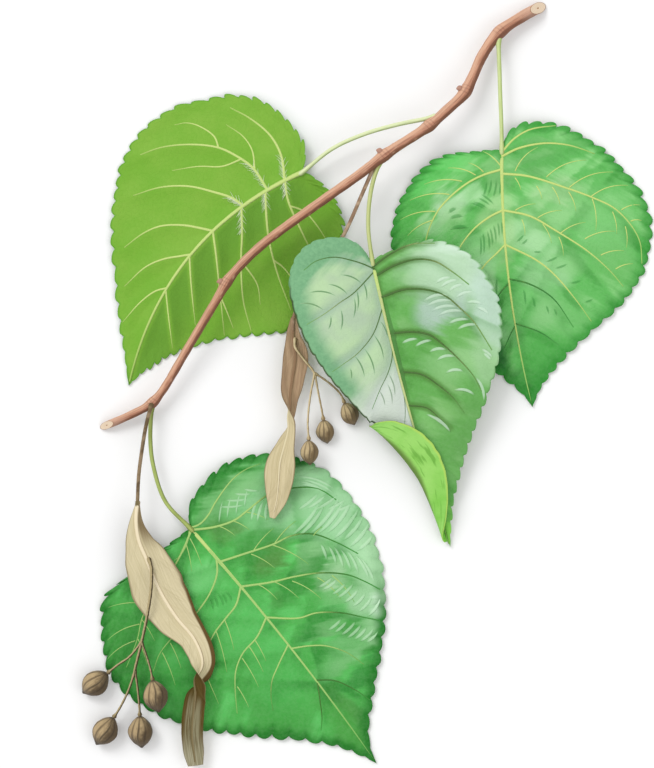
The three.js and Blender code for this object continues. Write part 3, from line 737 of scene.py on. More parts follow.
def tube(shell, points, radii, sides=8, flat=1.0, uv=None, round_ends=True, around=None, **values):
    """A round rod along points, with a radius for each, closed at both ends.

    Values are one for all, or one for each point; those in around are one for each side.
    """
    points = np.asarray(points, float)
    radii = np.broadcast_to(radii, len(points)).astype(float)
    if round_ends:
        ends = [(0, 1), (-1, -2)]
        first, last = (points[a] + unit(points[a] - points[b]) * radii[a] * 0.5 for a, b in ends)
        points = np.vstack([first, points, last])
        radii = np.concatenate([[radii[0] * 0.6], radii, [radii[-1] * 0.6]])
        values = {
            k: np.concatenate([[v[0]], v, [v[-1]]]) if np.ndim(v) else v for k, v in values.items()
        }
    along = unit(np.gradient(points, axis=0))
    side = unit(np.cross(along, UP))
    top = np.cross(side, along)
    turn = turns_round(sides)
    ring = side[:, None] * np.cos(turn)[None, :, None]
    ring = ring + top[:, None] * (np.sin(turn) * flat)[None, :, None]
    body = points[:, None] + ring * radii[:, None, None]
    every = np.vstack([body.reshape(-1, 3), points[:1], points[-1:]])
    lit = unit(ring) @ SUN
    spread = {"lit": np.concatenate([lit.ravel(), [0, 0]])}
    for key, value in values.items():
        if np.ndim(value):
            spread[key] = np.concatenate([np.repeat(value, sides), [value[0], value[-1]]])
        else:
            spread[key] = value
    for key, value in (around or {}).items():
        spread[key] = np.concatenate([np.tile(value, len(points)), [0, 0]])
    shell.add(every, capped_faces(len(points), sides), uv, **spread)


def finish_piece(piece, slot_name, *nodes):
    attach(piece, "root")
    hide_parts(*nodes)


# ------------------------------------------------------------------ materials


def paint(colour):
    """The shader's value of a colour given in 0 to 255 steps, as it looks in the studio's light."""
    steps = np.array(colour) / 255
    linear = np.where(steps <= 0.04045, steps / 12.92, ((steps + 0.055) / 1.055) ** 2.4)
    return (*(linear / STUDIO_LIGHT), 1.0)


class Graph:
    """A material's nodes, written as expressions.  Colours are given in 0 to 255 steps."""

    def __init__(self, name, roughness=0.6, specular=0.3, sheen=0.0):
        self.material = bpy.data.materials.new(name)
        self.material.use_nodes = True
        self.tree = self.material.node_tree
        self.tree.nodes.clear()
        self.shader = self.tree.nodes.new("ShaderNodeBsdfPrincipled")
        output = self.tree.nodes.new("ShaderNodeOutputMaterial")
        self.tree.links.new(self.shader.outputs[0], output.inputs[0])
        self.shader.inputs["Roughness"].default_value = roughness
        self.shader.inputs["Specular IOR Level"].default_value = specular
        self.shader.inputs["Sheen Weight"].default_value = sheen

    def put(self, socket, value):
        if isinstance(value, bpy.types.NodeSocket):
            self.tree.links.new(value, socket)
        else:
            socket.default_value = paint(value) if isinstance(value, tuple) else value

    def attribute(self, name):
        node = self.tree.nodes.new("ShaderNodeAttribute")
        node.attribute_type = "GEOMETRY"
        node.attribute_name = name
        return node.outputs["Fac"]

    def attributes(self, names):
        return [self.attribute(name) for name in names.split()]

    def math(self, operation, a, b=0.0):
        node = self.tree.nodes.new("ShaderNodeMath")
        node.operation = operation
        for socket, value in zip(node.inputs, (a, b)):
            self.put(socket, value)
        return node.outputs[0]

    def times(self, first, *others):
        for other in others:
            first = self.math("MULTIPLY", first, other)
        return first

    def plus(self, first, *others):
        for other in others:
            first = self.math("ADD", first, other)
        return first

    def without(self, value):
        return self.math("SUBTRACT", 1.0, value)

    def swing(self, noise, amount):
        """Noise turned into a drift round 0."""
        return self.times(self.math("SUBTRACT", noise, 0.5), amount)

    def ramp(self, value, low, high):
        """0 below low, 1 above high and an S-curve between; falling where low is the higher one."""
        node = self.tree.nodes.new("ShaderNodeMapRange")
        node.interpolation_type = "SMOOTHSTEP"
        rising = low < high
        ends = (low, high, 0.0, 1.0) if rising else (high, low, 1.0, 0.0)
        self.put(node.inputs["Value"], value)
        for name, end in zip(("From Min", "From Max", "To Min", "To Max"), ends):
            node.inputs[name].default_value = end
        return node.outputs["Result"]

    def mix(self, share, a, b):
        node = self.tree.nodes.new("ShaderNodeMix")
        node.data_type = "RGBA"
        self.put(node.inputs[0], share)
        self.put(node.inputs[6], a)
        self.put(node.inputs[7], b)
        return node.outputs[2]

    def vector(self, x, y, z=0.0):
        node = self.tree.nodes.new("ShaderNodeCombineXYZ")
        for socket, value in zip(node.inputs, (x, y, z)):
            self.put(socket, value)
        return node.outputs[0]

    def noise(self, vector, scale, detail=2.0, roughness=0.5):
        node = self.tree.nodes.new("ShaderNodeTexNoise")
        self.put(node.inputs["Vector"], vector)
        node.inputs["Scale"].default_value = scale
        node.inputs["Detail"].default_value = detail
        node.inputs["Roughness"].default_value = roughness
        return node.outputs["Fac"]

    def cells(self, vector, scale):
        """Distance to the edges of small cells."""
        node = self.tree.nodes.new("ShaderNodeTexVoronoi")
        node.feature = "DISTANCE_TO_EDGE"
        self.put(node.inputs["Vector"], vector)
        node.inputs["Scale"].default_value = scale
        return node.outputs["Distance"]

    def place(self):
        """The surface's own place in metres, which rides with the piece."""
        return self.tree.nodes.new("ShaderNodeTexCoord").outputs["Object"]

    def bump(self, height, distance, strength=1.0):
        node = self.tree.nodes.new("ShaderNodeBump")
        node.inputs["Distance"].default_value = distance
        node.inputs["Strength"].default_value = strength
        self.put(node.inputs["Height"], height)
        self.tree.links.new(node.outputs[0], self.shader.inputs["Normal"])

    def colour(self, value):
        self.put(self.shader.inputs["Base Color"], value)
        return self.material


# ------------------------------------------------------------------ leaf blades


def half_outline(half, length):
    """The smooth outline of half a blade: x outward, y to the tip, and the share of its length."""
    lx, depth, width = half["lobe_x"], half["lobe_depth"], half["width"]
    widest, rounding = half["widest_at"], half["round"]
    corners = [
        (BLADE["notch"], 0),
        (BLADE["sinus_x"] * lx, -BLADE["sinus_y"] * depth),
        (BLADE["lobe_round"] * lx, -depth),
        (lx, -depth),
        (between((lx, width), rounding), -depth),
        (width, between((widest, -depth), rounding)),
        (width, widest),
        (width, between((widest, length), half["shoulder"])),
        (half["tip_x"], length - half["tip_y"]),
        (0, length),
    ]
    t = np.linspace(0, 1, 401)[:, None]
    stretches = []
    for start in (0, 3, 6):
        a, b, c, d = np.array(corners[start : start + 4], float)
        curve = a * (1 - t) ** 3 + 3 * b * t * (1 - t) ** 2 + 3 * c * t * t * (1 - t) + d * t**3
        stretches.append(curve[1:] if start else curve)
    places = np.vstack(stretches)
    run = run_along(places)
    return places, run / run[-1]


def outline_at(outline, share):
    places, run = outline
    return np.stack([np.interp(share, run, places[:, i]) for i in (0, 1)], -1)


def rib_share_at(share):
    """How far up the midrib the line to a share of the margin starts, 0 all through the fan."""
    past = np.maximum(0, (share - BLADE["fan"]) / (1 - BLADE["fan"]))
    return past ** BLADE["fan_power"]


class Half:
    """Half a blade: its outline, its teeth and the surface between the midrib and the margin."""

    def __init__(self, leaf, side, seed):
        self.leaf, self.side, self.data = leaf, side, leaf[side]
        self.sign = 1 if side == "right" else -1
        self.outline = half_outline(self.data, leaf["length"])
        self.random = np.random.default_rng(seed)
        self.sizes = self.random.uniform(*BLADE["tooth_sizes"], BLADE["teeth"] + 4)
        self.wander = self.random.uniform(-1, 1, (3, 2))

    def teeth(self, share):
        """How far the margin stands out in mm: rounded teeth of uneven size, leaning to the tip."""
        place = share * BLADE["teeth"]
        for i, (size, phase) in enumerate(self.wander):
            place = place + BLADE["tooth_wander"] * size * np.sin((i + 2) * 5 * share + 3 * phase)
        number = np.clip(np.floor(place).astype(int), 0, BLADE["teeth"] + 3)
        within = place - np.floor(place)
        lean = self.leaf.get("tooth_lean", BLADE["tooth_lean"])
        rise = np.sin(np.minimum(within / lean, 1) * math.pi / 2) ** BLADE["tooth_rise"]
        fall = np.clip((within - lean) / (1 - lean), 0, 1) ** BLADE["tooth_fall"]
        size = (BLADE["tooth_point"] + BLADE["tooth_hollow"]) * self.sizes[number]
        fade = np.minimum(1, BLADE["tooth_fade"] * np.minimum(share, 1 - share))
        bold = self.data.get("tooth_size", 1)
        return (size * rise * (1 - fall) - BLADE["tooth_hollow"]) * fade * bold

    def at(self, share, reach, offset=0.0, even=False):
        """Places over the blade: share runs along the margin and reach out from the midrib."""
        leaf, length = self.leaf, self.leaf["length"]
        share, reach, offset = np.broadcast_arrays(share, reach, offset)
        rib_share = rib_share_at(share)
        rib = np.zeros((*share.shape, 2))
        rib[..., 1] = BLADE["fan_ahead"] + (length - BLADE["fan_ahead"]) * rib_share
        edge = outline_at(self.outline, share)
        step = 1e-3
        tangent = unit(
            outline_at(self.outline, np.minimum(1, share + step))
            - outline_at(self.outline, np.maximum(0, share - step))
        )
        outward = unit(edge - rib)
        crossing = np.abs(outward[..., 0] * tangent[..., 1] - outward[..., 1] * tangent[..., 0])
        grow = reach if even else reach ** BLADE["tooth_reach"]
        shift = offset / np.maximum(BLADE["tooth_slant"], crossing) * np.where(even, 1, grow)
        edge = edge + outward * shift[..., None]
        span = np.linalg.norm(edge - rib, axis=-1)
        bend = (rib + edge) / 2
        rise = np.clip(2 * (edge[..., 1] - rib[..., 1]), 0, span)
        bend[..., 1] -= BLADE["vein_bend"] * rise * np.sin(math.pi * share)
        r = reach[..., None]
        flat = rib * (1 - r) ** 2 + 2 * bend * r * (1 - r) + edge * r * r
        ahead = np.clip(flat[..., 1] / length, 0, 1)
        rib_height = heights_at(leaf["rib"], rib_share)
        edge_height = heights_at([leaf["rib"][0], *self.data["edge"], leaf["rib"][-1]], share)
        swell = 4 * reach * (1 - reach) * (
            leaf["arch"] * np.sin(math.pi * share) + BLADE["dish"] * leaf["upper_side"]
        )
        height = rib_height + (edge_height - rib_height) * reach + swell
        x = self.sign * flat[..., 0] + leaf["bow"] * 4 * ahead * (1 - ahead)
        return np.stack([x, flat[..., 1], height], -1)


def even_path(path, step):
    """The same path with its points a step apart."""
    run = run_along(path)
    count = max(4, int(run[-1] / step))
    at = np.linspace(0, run[-1], count)
    return np.stack([np.interp(at, run, path[:, i]) for i in range(path.shape[1])], -1)


def branch(vein, share, turn, length, curl):
    """A branch in the plane of the blade that leaves a vein at a share of its run."""
    place = share * (len(vein) - 1)
    i = int(place)
    start = vein[i] + (vein[min(i + 1, len(vein) - 1)] - vein[i]) * (place - i)
    along = unit(vein[min(i + 2, len(vein) - 1)] - vein[max(i - 2, 0)])
    steps = np.linspace(0, 1, 14)
    angle = math.atan2(along[1], along[0]) + turn * (1 - curl * steps)
    move = np.stack([np.cos(angle), np.sin(angle)], -1) * (length / 13)
    return start + np.vstack([[0, 0], np.cumsum(move[:-1], axis=0)])


def from_photo(leaf, places):
    """Places given in the drawing's pixels, in the leaf's own axes in mm."""
    offset = (np.asarray(places, float) - PHOTO_CENTRE) * np.array([1, -1]) * PHOTO_PIXEL
    x, y = np.moveaxis(offset - np.array(leaf["junction"][:2]), -1, 0)
    turn = math.radians(leaf["heading"] - 90)
    c, s = math.cos(turn), math.sin(turn)
    return np.stack([c * x + s * y, c * y - s * x], -1)


def midrib_path(leaf):
    ahead = np.linspace(0, VEIN["midrib_end"], 120)
    return np.stack([leaf["bow"] * 4 * ahead * (1 - ahead), ahead * leaf["length"]], -1)


def vein_path(leaf, places):
    """A side vein in the plane of the blade, which starts right on the midrib."""
    flat = from_photo(leaf, places)
    midrib = midrib_path(leaf)
    flat[0] = midrib[np.linalg.norm(midrib - flat[0], axis=1).argmin()]
    return catmull(flat, np.linspace(0, 1, 48))


def stroke_paths(leaf, count, bulge, starts, ends, random):
    """A set of short curved lines in the plane of the blade, a little uneven."""
    ends_of = [from_photo(leaf, places) for places in (starts, ends)]
    t = np.linspace(0, 1, 16)[:, None]
    for i in range(count):
        scatter = random.uniform(-STROKE["scatter"], STROKE["scatter"])
        at = np.clip((i + scatter) / max(1, count - 1), 0, 1)
        a, b = (catmull(p, [at])[0] if len(p) > 1 else p[0] for p in ends_of)
        a = a + (b - a) * random.uniform(*STROKE["start_shift"])
        b = b + (a - b) * random.uniform(*STROKE["end_shift"])
        way = b - a
        middle = (a + b) / 2 + 2 * bulge * np.array([-way[1], way[0]])
        yield a * (1 - t) ** 2 + 2 * middle * t * (1 - t) + b * t * t


def vein_plan(leaf, halves, random):
    """All raised veins of a leaf, as path, radii and ink at both ends, and the main ones."""
    midrib = midrib_path(leaf)
    plan = [(midrib, VEIN["midrib"], (0, 0))]
    main = [(midrib, 0)]
    for half in halves:
        veins = half.data["veins"]
        paths = [vein_path(leaf, places) for *_, places in veins]
        main.extend((path, half.sign) for path in paths)
        reach = paths[-1][0, 1] + VEIN["past_last"] * leaf["length"]
        for (size, *ink, _), path in zip(veins, paths):
            scale = size * (1 - VEIN["thinning"] * path[0, 1] / reach)
            plan.append((path, [r * scale for r in VEIN["side"]], ink))
        for places in half.data.get("forks", []):
            flat = from_photo(leaf, places)
            on_veins = np.vstack(paths)
            flat[0] = on_veins[np.linalg.norm(on_veins - flat[0], axis=1).argmin()]
            plan.append((catmull(flat, np.linspace(0, 1, 30)), VEIN["fork"], (0, 0)))
    for kind, count, radius, *spread in leaf["strokes"]:
        if kind == "vein":
            for path in stroke_paths(leaf, count, *spread, random):
                plan.append((path, (radius, radius / 2), (0, 0)))
    return plan, main


def beside_vein(away, strongest, width):
    """A tone on one side of a vein only, from 0 to 1."""
    return smooth(0, 0.8, away) * np.exp(-(((np.maximum(away, 0) - strongest) / width) ** 2))


def read_veins(points, main):
    """How each point lies to the main veins, in mm.

    The distance to the nearest one, a smooth run along the side veins, and the painted shade on
    their tip side and the painted highlight (glow) on their base side, both from 0 to 1.
    """
    flat = points[..., :2].reshape(-1, 2)
    distances, runs = [], []
    shade, glow = np.zeros(len(flat)), np.zeros(len(flat))
    for path, sign in main:
        a, d = path[:-1], np.diff(path, axis=0)
        lengths = np.linalg.norm(d, axis=1)
        start = np.concatenate([[0], np.cumsum(lengths)[:-1]])
        t = np.einsum("pij,ij->pi", flat[:, None] - a, d) / np.maximum(lengths**2, 1e-9)
        t = np.clip(t, 0, 1)
        away = flat[:, None] - (a + t[..., None] * d)
        gap = np.linalg.norm(away, axis=2)
        best = gap.argmin(1)
        pick = np.arange(len(flat))
        run = start[best] + t[pick, best] * lengths[best]
        distances.append(gap[pick, best])
        runs.append(run)
        if sign:
            offset = away[pick, best]
            signed = sign * (d[best, 0] * offset[:, 1] - d[best, 1] * offset[:, 0]) / lengths[best]
            here = 1 - smooth(0.8, 1, run / lengths.sum())
            shade += here * beside_vein(signed, *VEIN_SHADE)
            glow += here * beside_vein(-signed, *VEIN_GLOW)
    distances, runs = np.array(distances), np.array(runs)
    weights = 1 / (distances[1:] ** 2 + 0.5) ** 2
    run = (weights * runs[1:]).sum(0) / weights.sum(0)
    found = (distances.min(0), run, np.minimum(shade, 1), np.minimum(glow, 1))
    return (value.reshape(points.shape[:-1]) for value in found)


class Atlas:
    """Where a leaf's faces lie in its map: top, underside, veins above and veins below."""

    SPAN = 132.0
    STALK = (0.01, 0.957, 0.48, 0.036)
    HAIRS = (0.49, 0.49, 0.005, 0.005)
    ROLLED = ((0.51, 0.957, 0.48, 0.036), (0.51, 0.505, 0.48, 0.036))

    def __init__(self, points):
        self.centre = (points[:, :2].min(0) + points[:, :2].max(0)) / 2

    def zone(self, column, row):
        def uv(points, faces):
            at = (points[:, :2] - self.centre) / self.SPAN + 0.5
            at = np.clip(at, 0.01, 0.99) / 2 + np.array([column, row]) / 2
            return at[faces]

        return uv


def strip_uv(box, rows, columns, closed=False):
    """A map for a grid of points inside a box, with the last column next to the first if closed."""
    x, y, wide, high = box

    def uv(_, faces):
        row, column = np.divmod(np.minimum(faces, rows * columns - 1), columns)
        if closed:
            wrapped = (column == 0) & (column.max(1, keepdims=True) == columns - 1)
            column = np.where(wrapped, columns, column)
        u = x + wide * row / (rows - 1)
        return np.stack([u, y + high * column / (columns if closed else columns - 1)], -1)

    return uv


def to_world(leaf, local):
    """From the leaf's own axes, with y along its midrib, to the twig's."""
    turn = math.radians(leaf["heading"] - 90)
    x, y, z = np.moveaxis(np.asarray(local, float), -1, 0)
    c, s = math.cos(turn), math.sin(turn)
    jx, jy = leaf["junction"][:2]
    return np.stack([c * x - s * y + jx, s * x + c * y + jy, z], -1)


def ripple(local, seed):
    """Small uneven waves of a blade, in mm."""
    random = np.random.default_rng(seed)
    total = np.zeros(local.shape[:-1])
    for _ in range(RIPPLE["waves"]):
        angle = random.uniform(0, 2 * math.pi)
        size = random.uniform(*RIPPLE["sizes"])
        phase = random.uniform(0, 2 * math.pi)
        run = local[..., 0] * math.cos(angle) + local[..., 1] * math.sin(angle)
        total += np.sin(run * 2 * math.pi / size + phase) * size / RIPPLE["sizes"][1]
    return total / RIPPLE["waves"]


def sheet_tree(points, faces):
    return BVHTree.FromPolygons(points.reshape(-1, 3).tolist(), faces.tolist())


def drop_on(tree, path, above=True):
    """Lays a path in the plane on a surface; its start may lie in the notch of the blade."""
    far_off = 60.0
    start, way = (far_off, -1.0) if above else (-far_off, 1.0)
    hits = [tree.ray_cast(Vector((x, y, start)), Vector((0, 0, way)))[0] for x, y in path]
    heights = [hit[2] for hit in hits if hit]
    if len(heights) < 4:
        return np.zeros((0, 3))
    last = max(i for i, hit in enumerate(hits) if hit)
    placed, level = [], heights[0]
    for (x, y), hit in zip(path[: last + 1], hits):
        level = hit[2] if hit else level
        placed.append((x, y, level))
    return np.array(placed)


def flap_fullness(flap, share):
    along = np.clip((share - flap["from"]) / (flap["to"] - flap["from"]), 0, 1)
    return np.sin(math.pi * along ** flap["lean"]) ** flap["fullness"]


def roll_inset(flap, share):
    depth = flap["radius"] + BLADE["solid_thickness"] / 2
    return -depth * flap_fullness(flap, share) ** flap["inset_power"]


def flap_surface(leaf, half, shares, columns):
    """The rolled strip of the folded leaf's margin: places, and the way its upper face looks."""
    flap = leaf["flap"]

    def edge_at(share):
        return half.at(share, 1.0, roll_inset(flap, share), even=True)

    edge = edge_at(shares)
    step = flap["step"]
    along = edge_at(np.minimum(1, shares + step)) - edge_at(shares - step)
    along[:, 2] = 0
    along = unit(along)
    out = np.stack([along[:, 1], -along[:, 0], np.zeros(len(along))], -1) * half.sign
    full = math.radians(flap["turn"])
    width = (flap["width"] + flap["radius"] * full) * flap_fullness(flap, shares)
    width = width + np.maximum(0, half.teeth(shares))
    reach = width[:, None] * columns[None, :]
    angle = np.minimum(reach / flap["radius"], full)
    straight = np.maximum(0, reach - full * flap["radius"])
    outward = flap["radius"] * np.sin(angle) + straight * math.cos(full)
    upward = flap["radius"] * (1 - np.cos(angle)) + straight * math.sin(full)
    places = edge[:, None] + out[:, None] * outward[..., None] + UP * upward[..., None]
    face = UP * np.cos(angle)[..., None] - out[:, None] * np.sin(angle)[..., None]
    return places, face


def leaf_values(leaf, local, lower, **others):
    """The values that the leaf's material reads at each point."""
    length = leaf["length"]
    ahead = local[..., 1] / length
    within = np.clip(ahead, 0, 1)
    across = (local[..., 0] - leaf["bow"] * 4 * within * (1 - within)) / length
    values = {"across": across, "ahead": ahead, "lower": np.full(ahead.shape, float(lower)), **others}
    return {key: np.broadcast_to(value, ahead.shape).ravel() for key, value in values.items()}


def both_faces(leaf, local, faces_down, **others):
    """The values of a sheet's two faces, the top one first."""
    top = leaf_values(leaf, local, faces_down, **others)
    bottom = leaf_values(leaf, local, not faces_down, **others)
    return {key: np.concatenate([top[key], bottom[key]]) for key in top}


def closed_sheet(shell, upper, lower, maps, values):
    """Two grids of one size joined round their rim into a closed sheet."""
    rows, columns = upper.shape[:2]
    quads = grid_faces(rows, columns)
    count = rows * columns
    number = np.arange(count).reshape(rows, columns)
    rim = np.concatenate([number[0], number[1:, -1], number[-1, -2::-1], number[-2:0:-1, 0]])
    after = np.roll(rim, -1)
    wall = np.stack([rim, after, after + count, rim + count], -1)
    top, bottom = upper.reshape(-1, 3), lower.reshape(-1, 3)
    base = shell.count
    shell.add(np.vstack([top, bottom]), quads, lambda p, f: maps[0](top, quads), **values)
    shell.faces += [quads[:, ::-1] + count + base, wall + base]
    shell.uvs += [maps[1](bottom, quads[:, ::-1]), maps[0](top, np.stack([rim, after, after, rim], -1))]
    return quads


def add_hairs(shell, leaf, tree, halves):
    """Tufts of fine white hairs in the angles of the veins on a leaf's underside."""
    random = np.random.default_rng(5)
    for half in halves:
        for *_, places in half.data["veins"][:3]:
            path = vein_path(leaf, places)
            for i in range(HAIRS["number"]):
                share = HAIRS["vein_share"] * (i + random.uniform(0, HAIRS["scatter"])) / HAIRS["number"]
                way = 1 if i % HAIRS["stray"] else -1
                turn = half.sign * way * random.uniform(*HAIRS["turn"])
                flat = branch(path, share, turn, random.uniform(*HAIRS["length"]), HAIRS["curl"])
                placed = drop_on(tree, flat)
                if len(placed) < 6:
                    continue
                placed[:, 2] += np.linspace(HAIRS["root"], random.uniform(*HAIRS["rise"]), len(placed))
                world = to_world(leaf, placed[::2])
                radii = np.linspace(*HAIRS["radii"], len(world))
                patch = strip_uv(Atlas.HAIRS, len(world), HAIRS["sides"])
                tube(shell, world, radii, HAIRS["sides"], uv=patch, round_ends=False, kind=2.0)


def add_veins(shell, leaf, plan, trees, zones):
    """Raised veins on both faces of a blade, bolder on its underside."""
    for above, tree, zone in zip((True, False), trees, zones):
        under = above != (leaf["upper_side"] > 0)
        for path, radii, ink in plan:
            placed = drop_on(tree, even_path(path, VEIN["step"]), above)
            if len(placed) < 4:
                continue
            share = np.linspace(0, 1, len(placed))
            radius = between(radii, share ** VEIN["taper_power"])
            if under:
                radius = radius * VEIN["hidden_scale"]
            placed[:, 2] += (-1 if above else 1) * VEIN["sink"] * radius
            tube(
                shell, to_world(leaf, placed), radius, VEIN["sides"], VEIN["flat"], uv=zone, kind=1.0,
                ink=between(ink, smooth(*VEIN["inked"], share)) * (not under), lower=float(under),
                share=share,
            )


def add_strokes(shell, leaf, main, tree, zone, random):
    """Pale strokes, cross veins with painted sheen, and dark strokes between a blade's veins, as ridges.
    """
    crown = np.clip(np.sin(turns_round(STROKE["sides"])), 0, 1) ** STROKE["crown_power"]
    for kind, count, radius, *spread in leaf["strokes"]:
        if kind == "vein":
            continue
        tint = crown if kind == "light" else -crown
        for path in stroke_paths(leaf, count, *spread, random):
            placed = drop_on(tree, even_path(path, STROKE["step"]))
            if len(placed) < 4:
                continue
            middle = np.sin(math.pi * np.linspace(0, 1, len(placed)))
            girth = radius * between((STROKE["thin_end"], 1), middle ** STROKE["girth_power"])
            near, run, shade, glow = read_veins(placed, main)
            shown = {
                "near": near, "run": run, "rim": STROKE["rim"], "shade": shade, "glow": glow,
                "share": middle,
            }
            placed[:, 2] -= STROKE["sink"] * girth
            tube(
                shell, to_world(leaf, placed), girth, STROKE["sides"], STROKE["flat"], uv=zone,
                around={"tint": tint}, **leaf_values(leaf, placed, False, **shown),
            )


def make_leaf(leaf, seed):
    halves = [Half(leaf, "left", seed), Half(leaf, "right", seed + 1)]
    random = np.random.default_rng(seed + 5)
    plan, main = vein_plan(leaf, halves, random)
    shares = np.linspace(0, 1, BLADE["teeth"] * BLADE["tooth_rows"] + 1)[:, None]
    reach = np.linspace(0, 1, BLADE["columns"] + 1)[None, :] ** BLADE["column_power"]
    flap = leaf.get("flap")
    sides = []
    for half in halves:
        teeth = half.teeth(shares)
        if flap and half.side == "right":
            rolled = (shares > flap["from"]) & (shares < flap["last"])
            plain = half.at(shares, reach, teeth)
            inset = half.at(shares, reach, roll_inset(flap, shares), even=True)
            sides.append(np.where(rolled[..., None], inset, plain))
        else:
            sides.append(half.at(shares, reach, teeth))
    local = np.concatenate([sides[0][:, :0:-1], sides[1]], axis=1)
    spans = np.linalg.norm(local - local[:, BLADE["columns"]][:, None], axis=-1)
    widths = np.concatenate([
        np.repeat(spans[:, :1], BLADE["columns"], 1), np.repeat(spans[:, -1:], BLADE["columns"] + 1, 1),
    ], axis=1)
    near, run, shade, glow = read_veins(local, main)
    rim = np.maximum(0, widths - spans)
    bulge = 1 - np.exp(-((near / BLADE["quilt_width"]) ** 2))
    relief = leaf["upper_side"] * BLADE["quilt"] * bulge * smooth(0, BLADE["quilt_rim"], rim)
    waves = ripple(local, seed + 2) * smooth(0, BLADE["ripple_rim"], near + rim)
    relief = relief + BLADE["ripple"] * waves
    raised = local.copy()
    raised[..., 2] = np.maximum(local[..., 2] + relief - SETTLED, BLADE["thickness"] / 2)
    half_sheet = np.array([0, 0, BLADE["thickness"] / 2])
    faces_down = leaf["upper_side"] < 0
    values = both_faces(leaf, local, faces_down, near=near, run=run, rim=rim, shade=shade, glow=glow)
    upper, lower = raised + half_sheet, raised - half_sheet
    sheets = to_world(leaf, upper), to_world(leaf, lower)
    atlas = Atlas(sheets[0].reshape(-1, 3))
    shell = Shell()
    quads = closed_sheet(shell, *sheets, (atlas.zone(0, 0), atlas.zone(1, 0)), values)
    trees = sheet_tree(upper, quads), sheet_tree(lower, quads)
    add_veins(shell, leaf, plan, trees, (atlas.zone(0, 1), atlas.zone(1, 1)))
    add_strokes(shell, leaf, main, trees[0], atlas.zone(0, 1), random)
    if faces_down:
        add_hairs(shell, leaf, trees[0], halves)
    if flap:
        add_flap(shell, leaf, halves[1])
    add_petiole(shell, leaf)
    piece = shell.build(leaf["name"], LEAF_MATERIALS[leaf["name"]], with_uv=True)
    finish_piece(piece, leaf["slot"], leaf["name"] + "_blade", leaf["name"] + "_petiole")


def add_flap(shell, leaf, half):
    """The strip of the margin that is rolled over onto the blade."""
    flap = leaf["flap"]
    shares = np.linspace(flap["from"] + 1e-4, flap["last"], flap["rows"])
    columns = np.linspace(0, 1, flap["columns"]) ** flap["column_power"]
    places, face = flap_surface(leaf, half, shares, columns)
    places[..., 2] -= SETTLED * (1 - columns)
    places = places + face * flap["ripple"] * ripple(places, 77)[..., None] * columns[None, :, None]
    sheets = [places + face * way * BLADE["thickness"] / 2 for way in (1, -1)]
    for sheet in sheets:
        sheet[..., 2] = np.maximum(sheet[..., 2], LOWEST)
    run, out = np.meshgrid(shares, columns, indexing="ij")
    values = both_faces(
        leaf, places, False, near=3.0, run=run * 46, rim=10 * (1 - out), rolled=out, share=run,
    )
    maps = [strip_uv(box, len(shares), len(columns)) for box in Atlas.ROLLED]
    closed_sheet(shell, *(to_world(leaf, sheet) for sheet in sheets), maps, values)


def add_petiole(shell, leaf):
    route = Route(leaf["petiole"])
    share = np.linspace(PETIOLE["start"], 1, int(route.length / PETIOLE["step"]))
    from_foot = share * route.length
    to_blade = (1 - share) * route.length
    radius = between(PETIOLE["radii"], share)
    radius = radius + PETIOLE["foot"] * np.exp(-((from_foot / PETIOLE["foot_length"]) ** 2))
    radius = radius + PETIOLE["head"] * np.exp(-((to_blade / PETIOLE["foot_length"]) ** 2))
    sides = PETIOLE["sides"]
    mapped = strip_uv(Atlas.STALK, len(share) + 2, sides, closed=True)
    path = route.at(share)
    path[-1] += unit(path[-1] - path[-2]) * PETIOLE["into_blade"]
    tube(shell, path, radius, sides, uv=mapped, kind=3.0, share=share, run=from_foot)


# ------------------------------------------------------------------ leaf materials

MINT = (168, 216, 160)
DEEP = (26, 114, 30)
OLIVE = (88, 130, 62)
# The underside's colours; deep is the painted shade beside the midrib.
UNDERSIDE = {
    "base": (131, 178, 66), "patches": (116, 172, 54), "deep": (102, 154, 51), "rim": (98, 160, 48),
    "vein": (198, 218, 132), "hair": (236, 244, 216),
}

# The folded leaf has a pale half of painted sheen, a painted shadow in a band along its midrib
# and a fresh green rolled margin.
FOLDED = {
    "pale_sheen": ((162, 190, 162), (184, 214, 168)), "pale_sheen_patches": (170, 190, 168),
    "teal": ((116, 168, 124), (126, 178, 132)), "grey": (210, 218, 210), "outline": (70, 92, 56),
    "midrib": (84, 130, 60), "roll": ((128, 198, 80), (158, 216, 110)), "crease": (88, 152, 48),
    "turn": (96, 122, 56), "free_edge": (176, 214, 100),
}
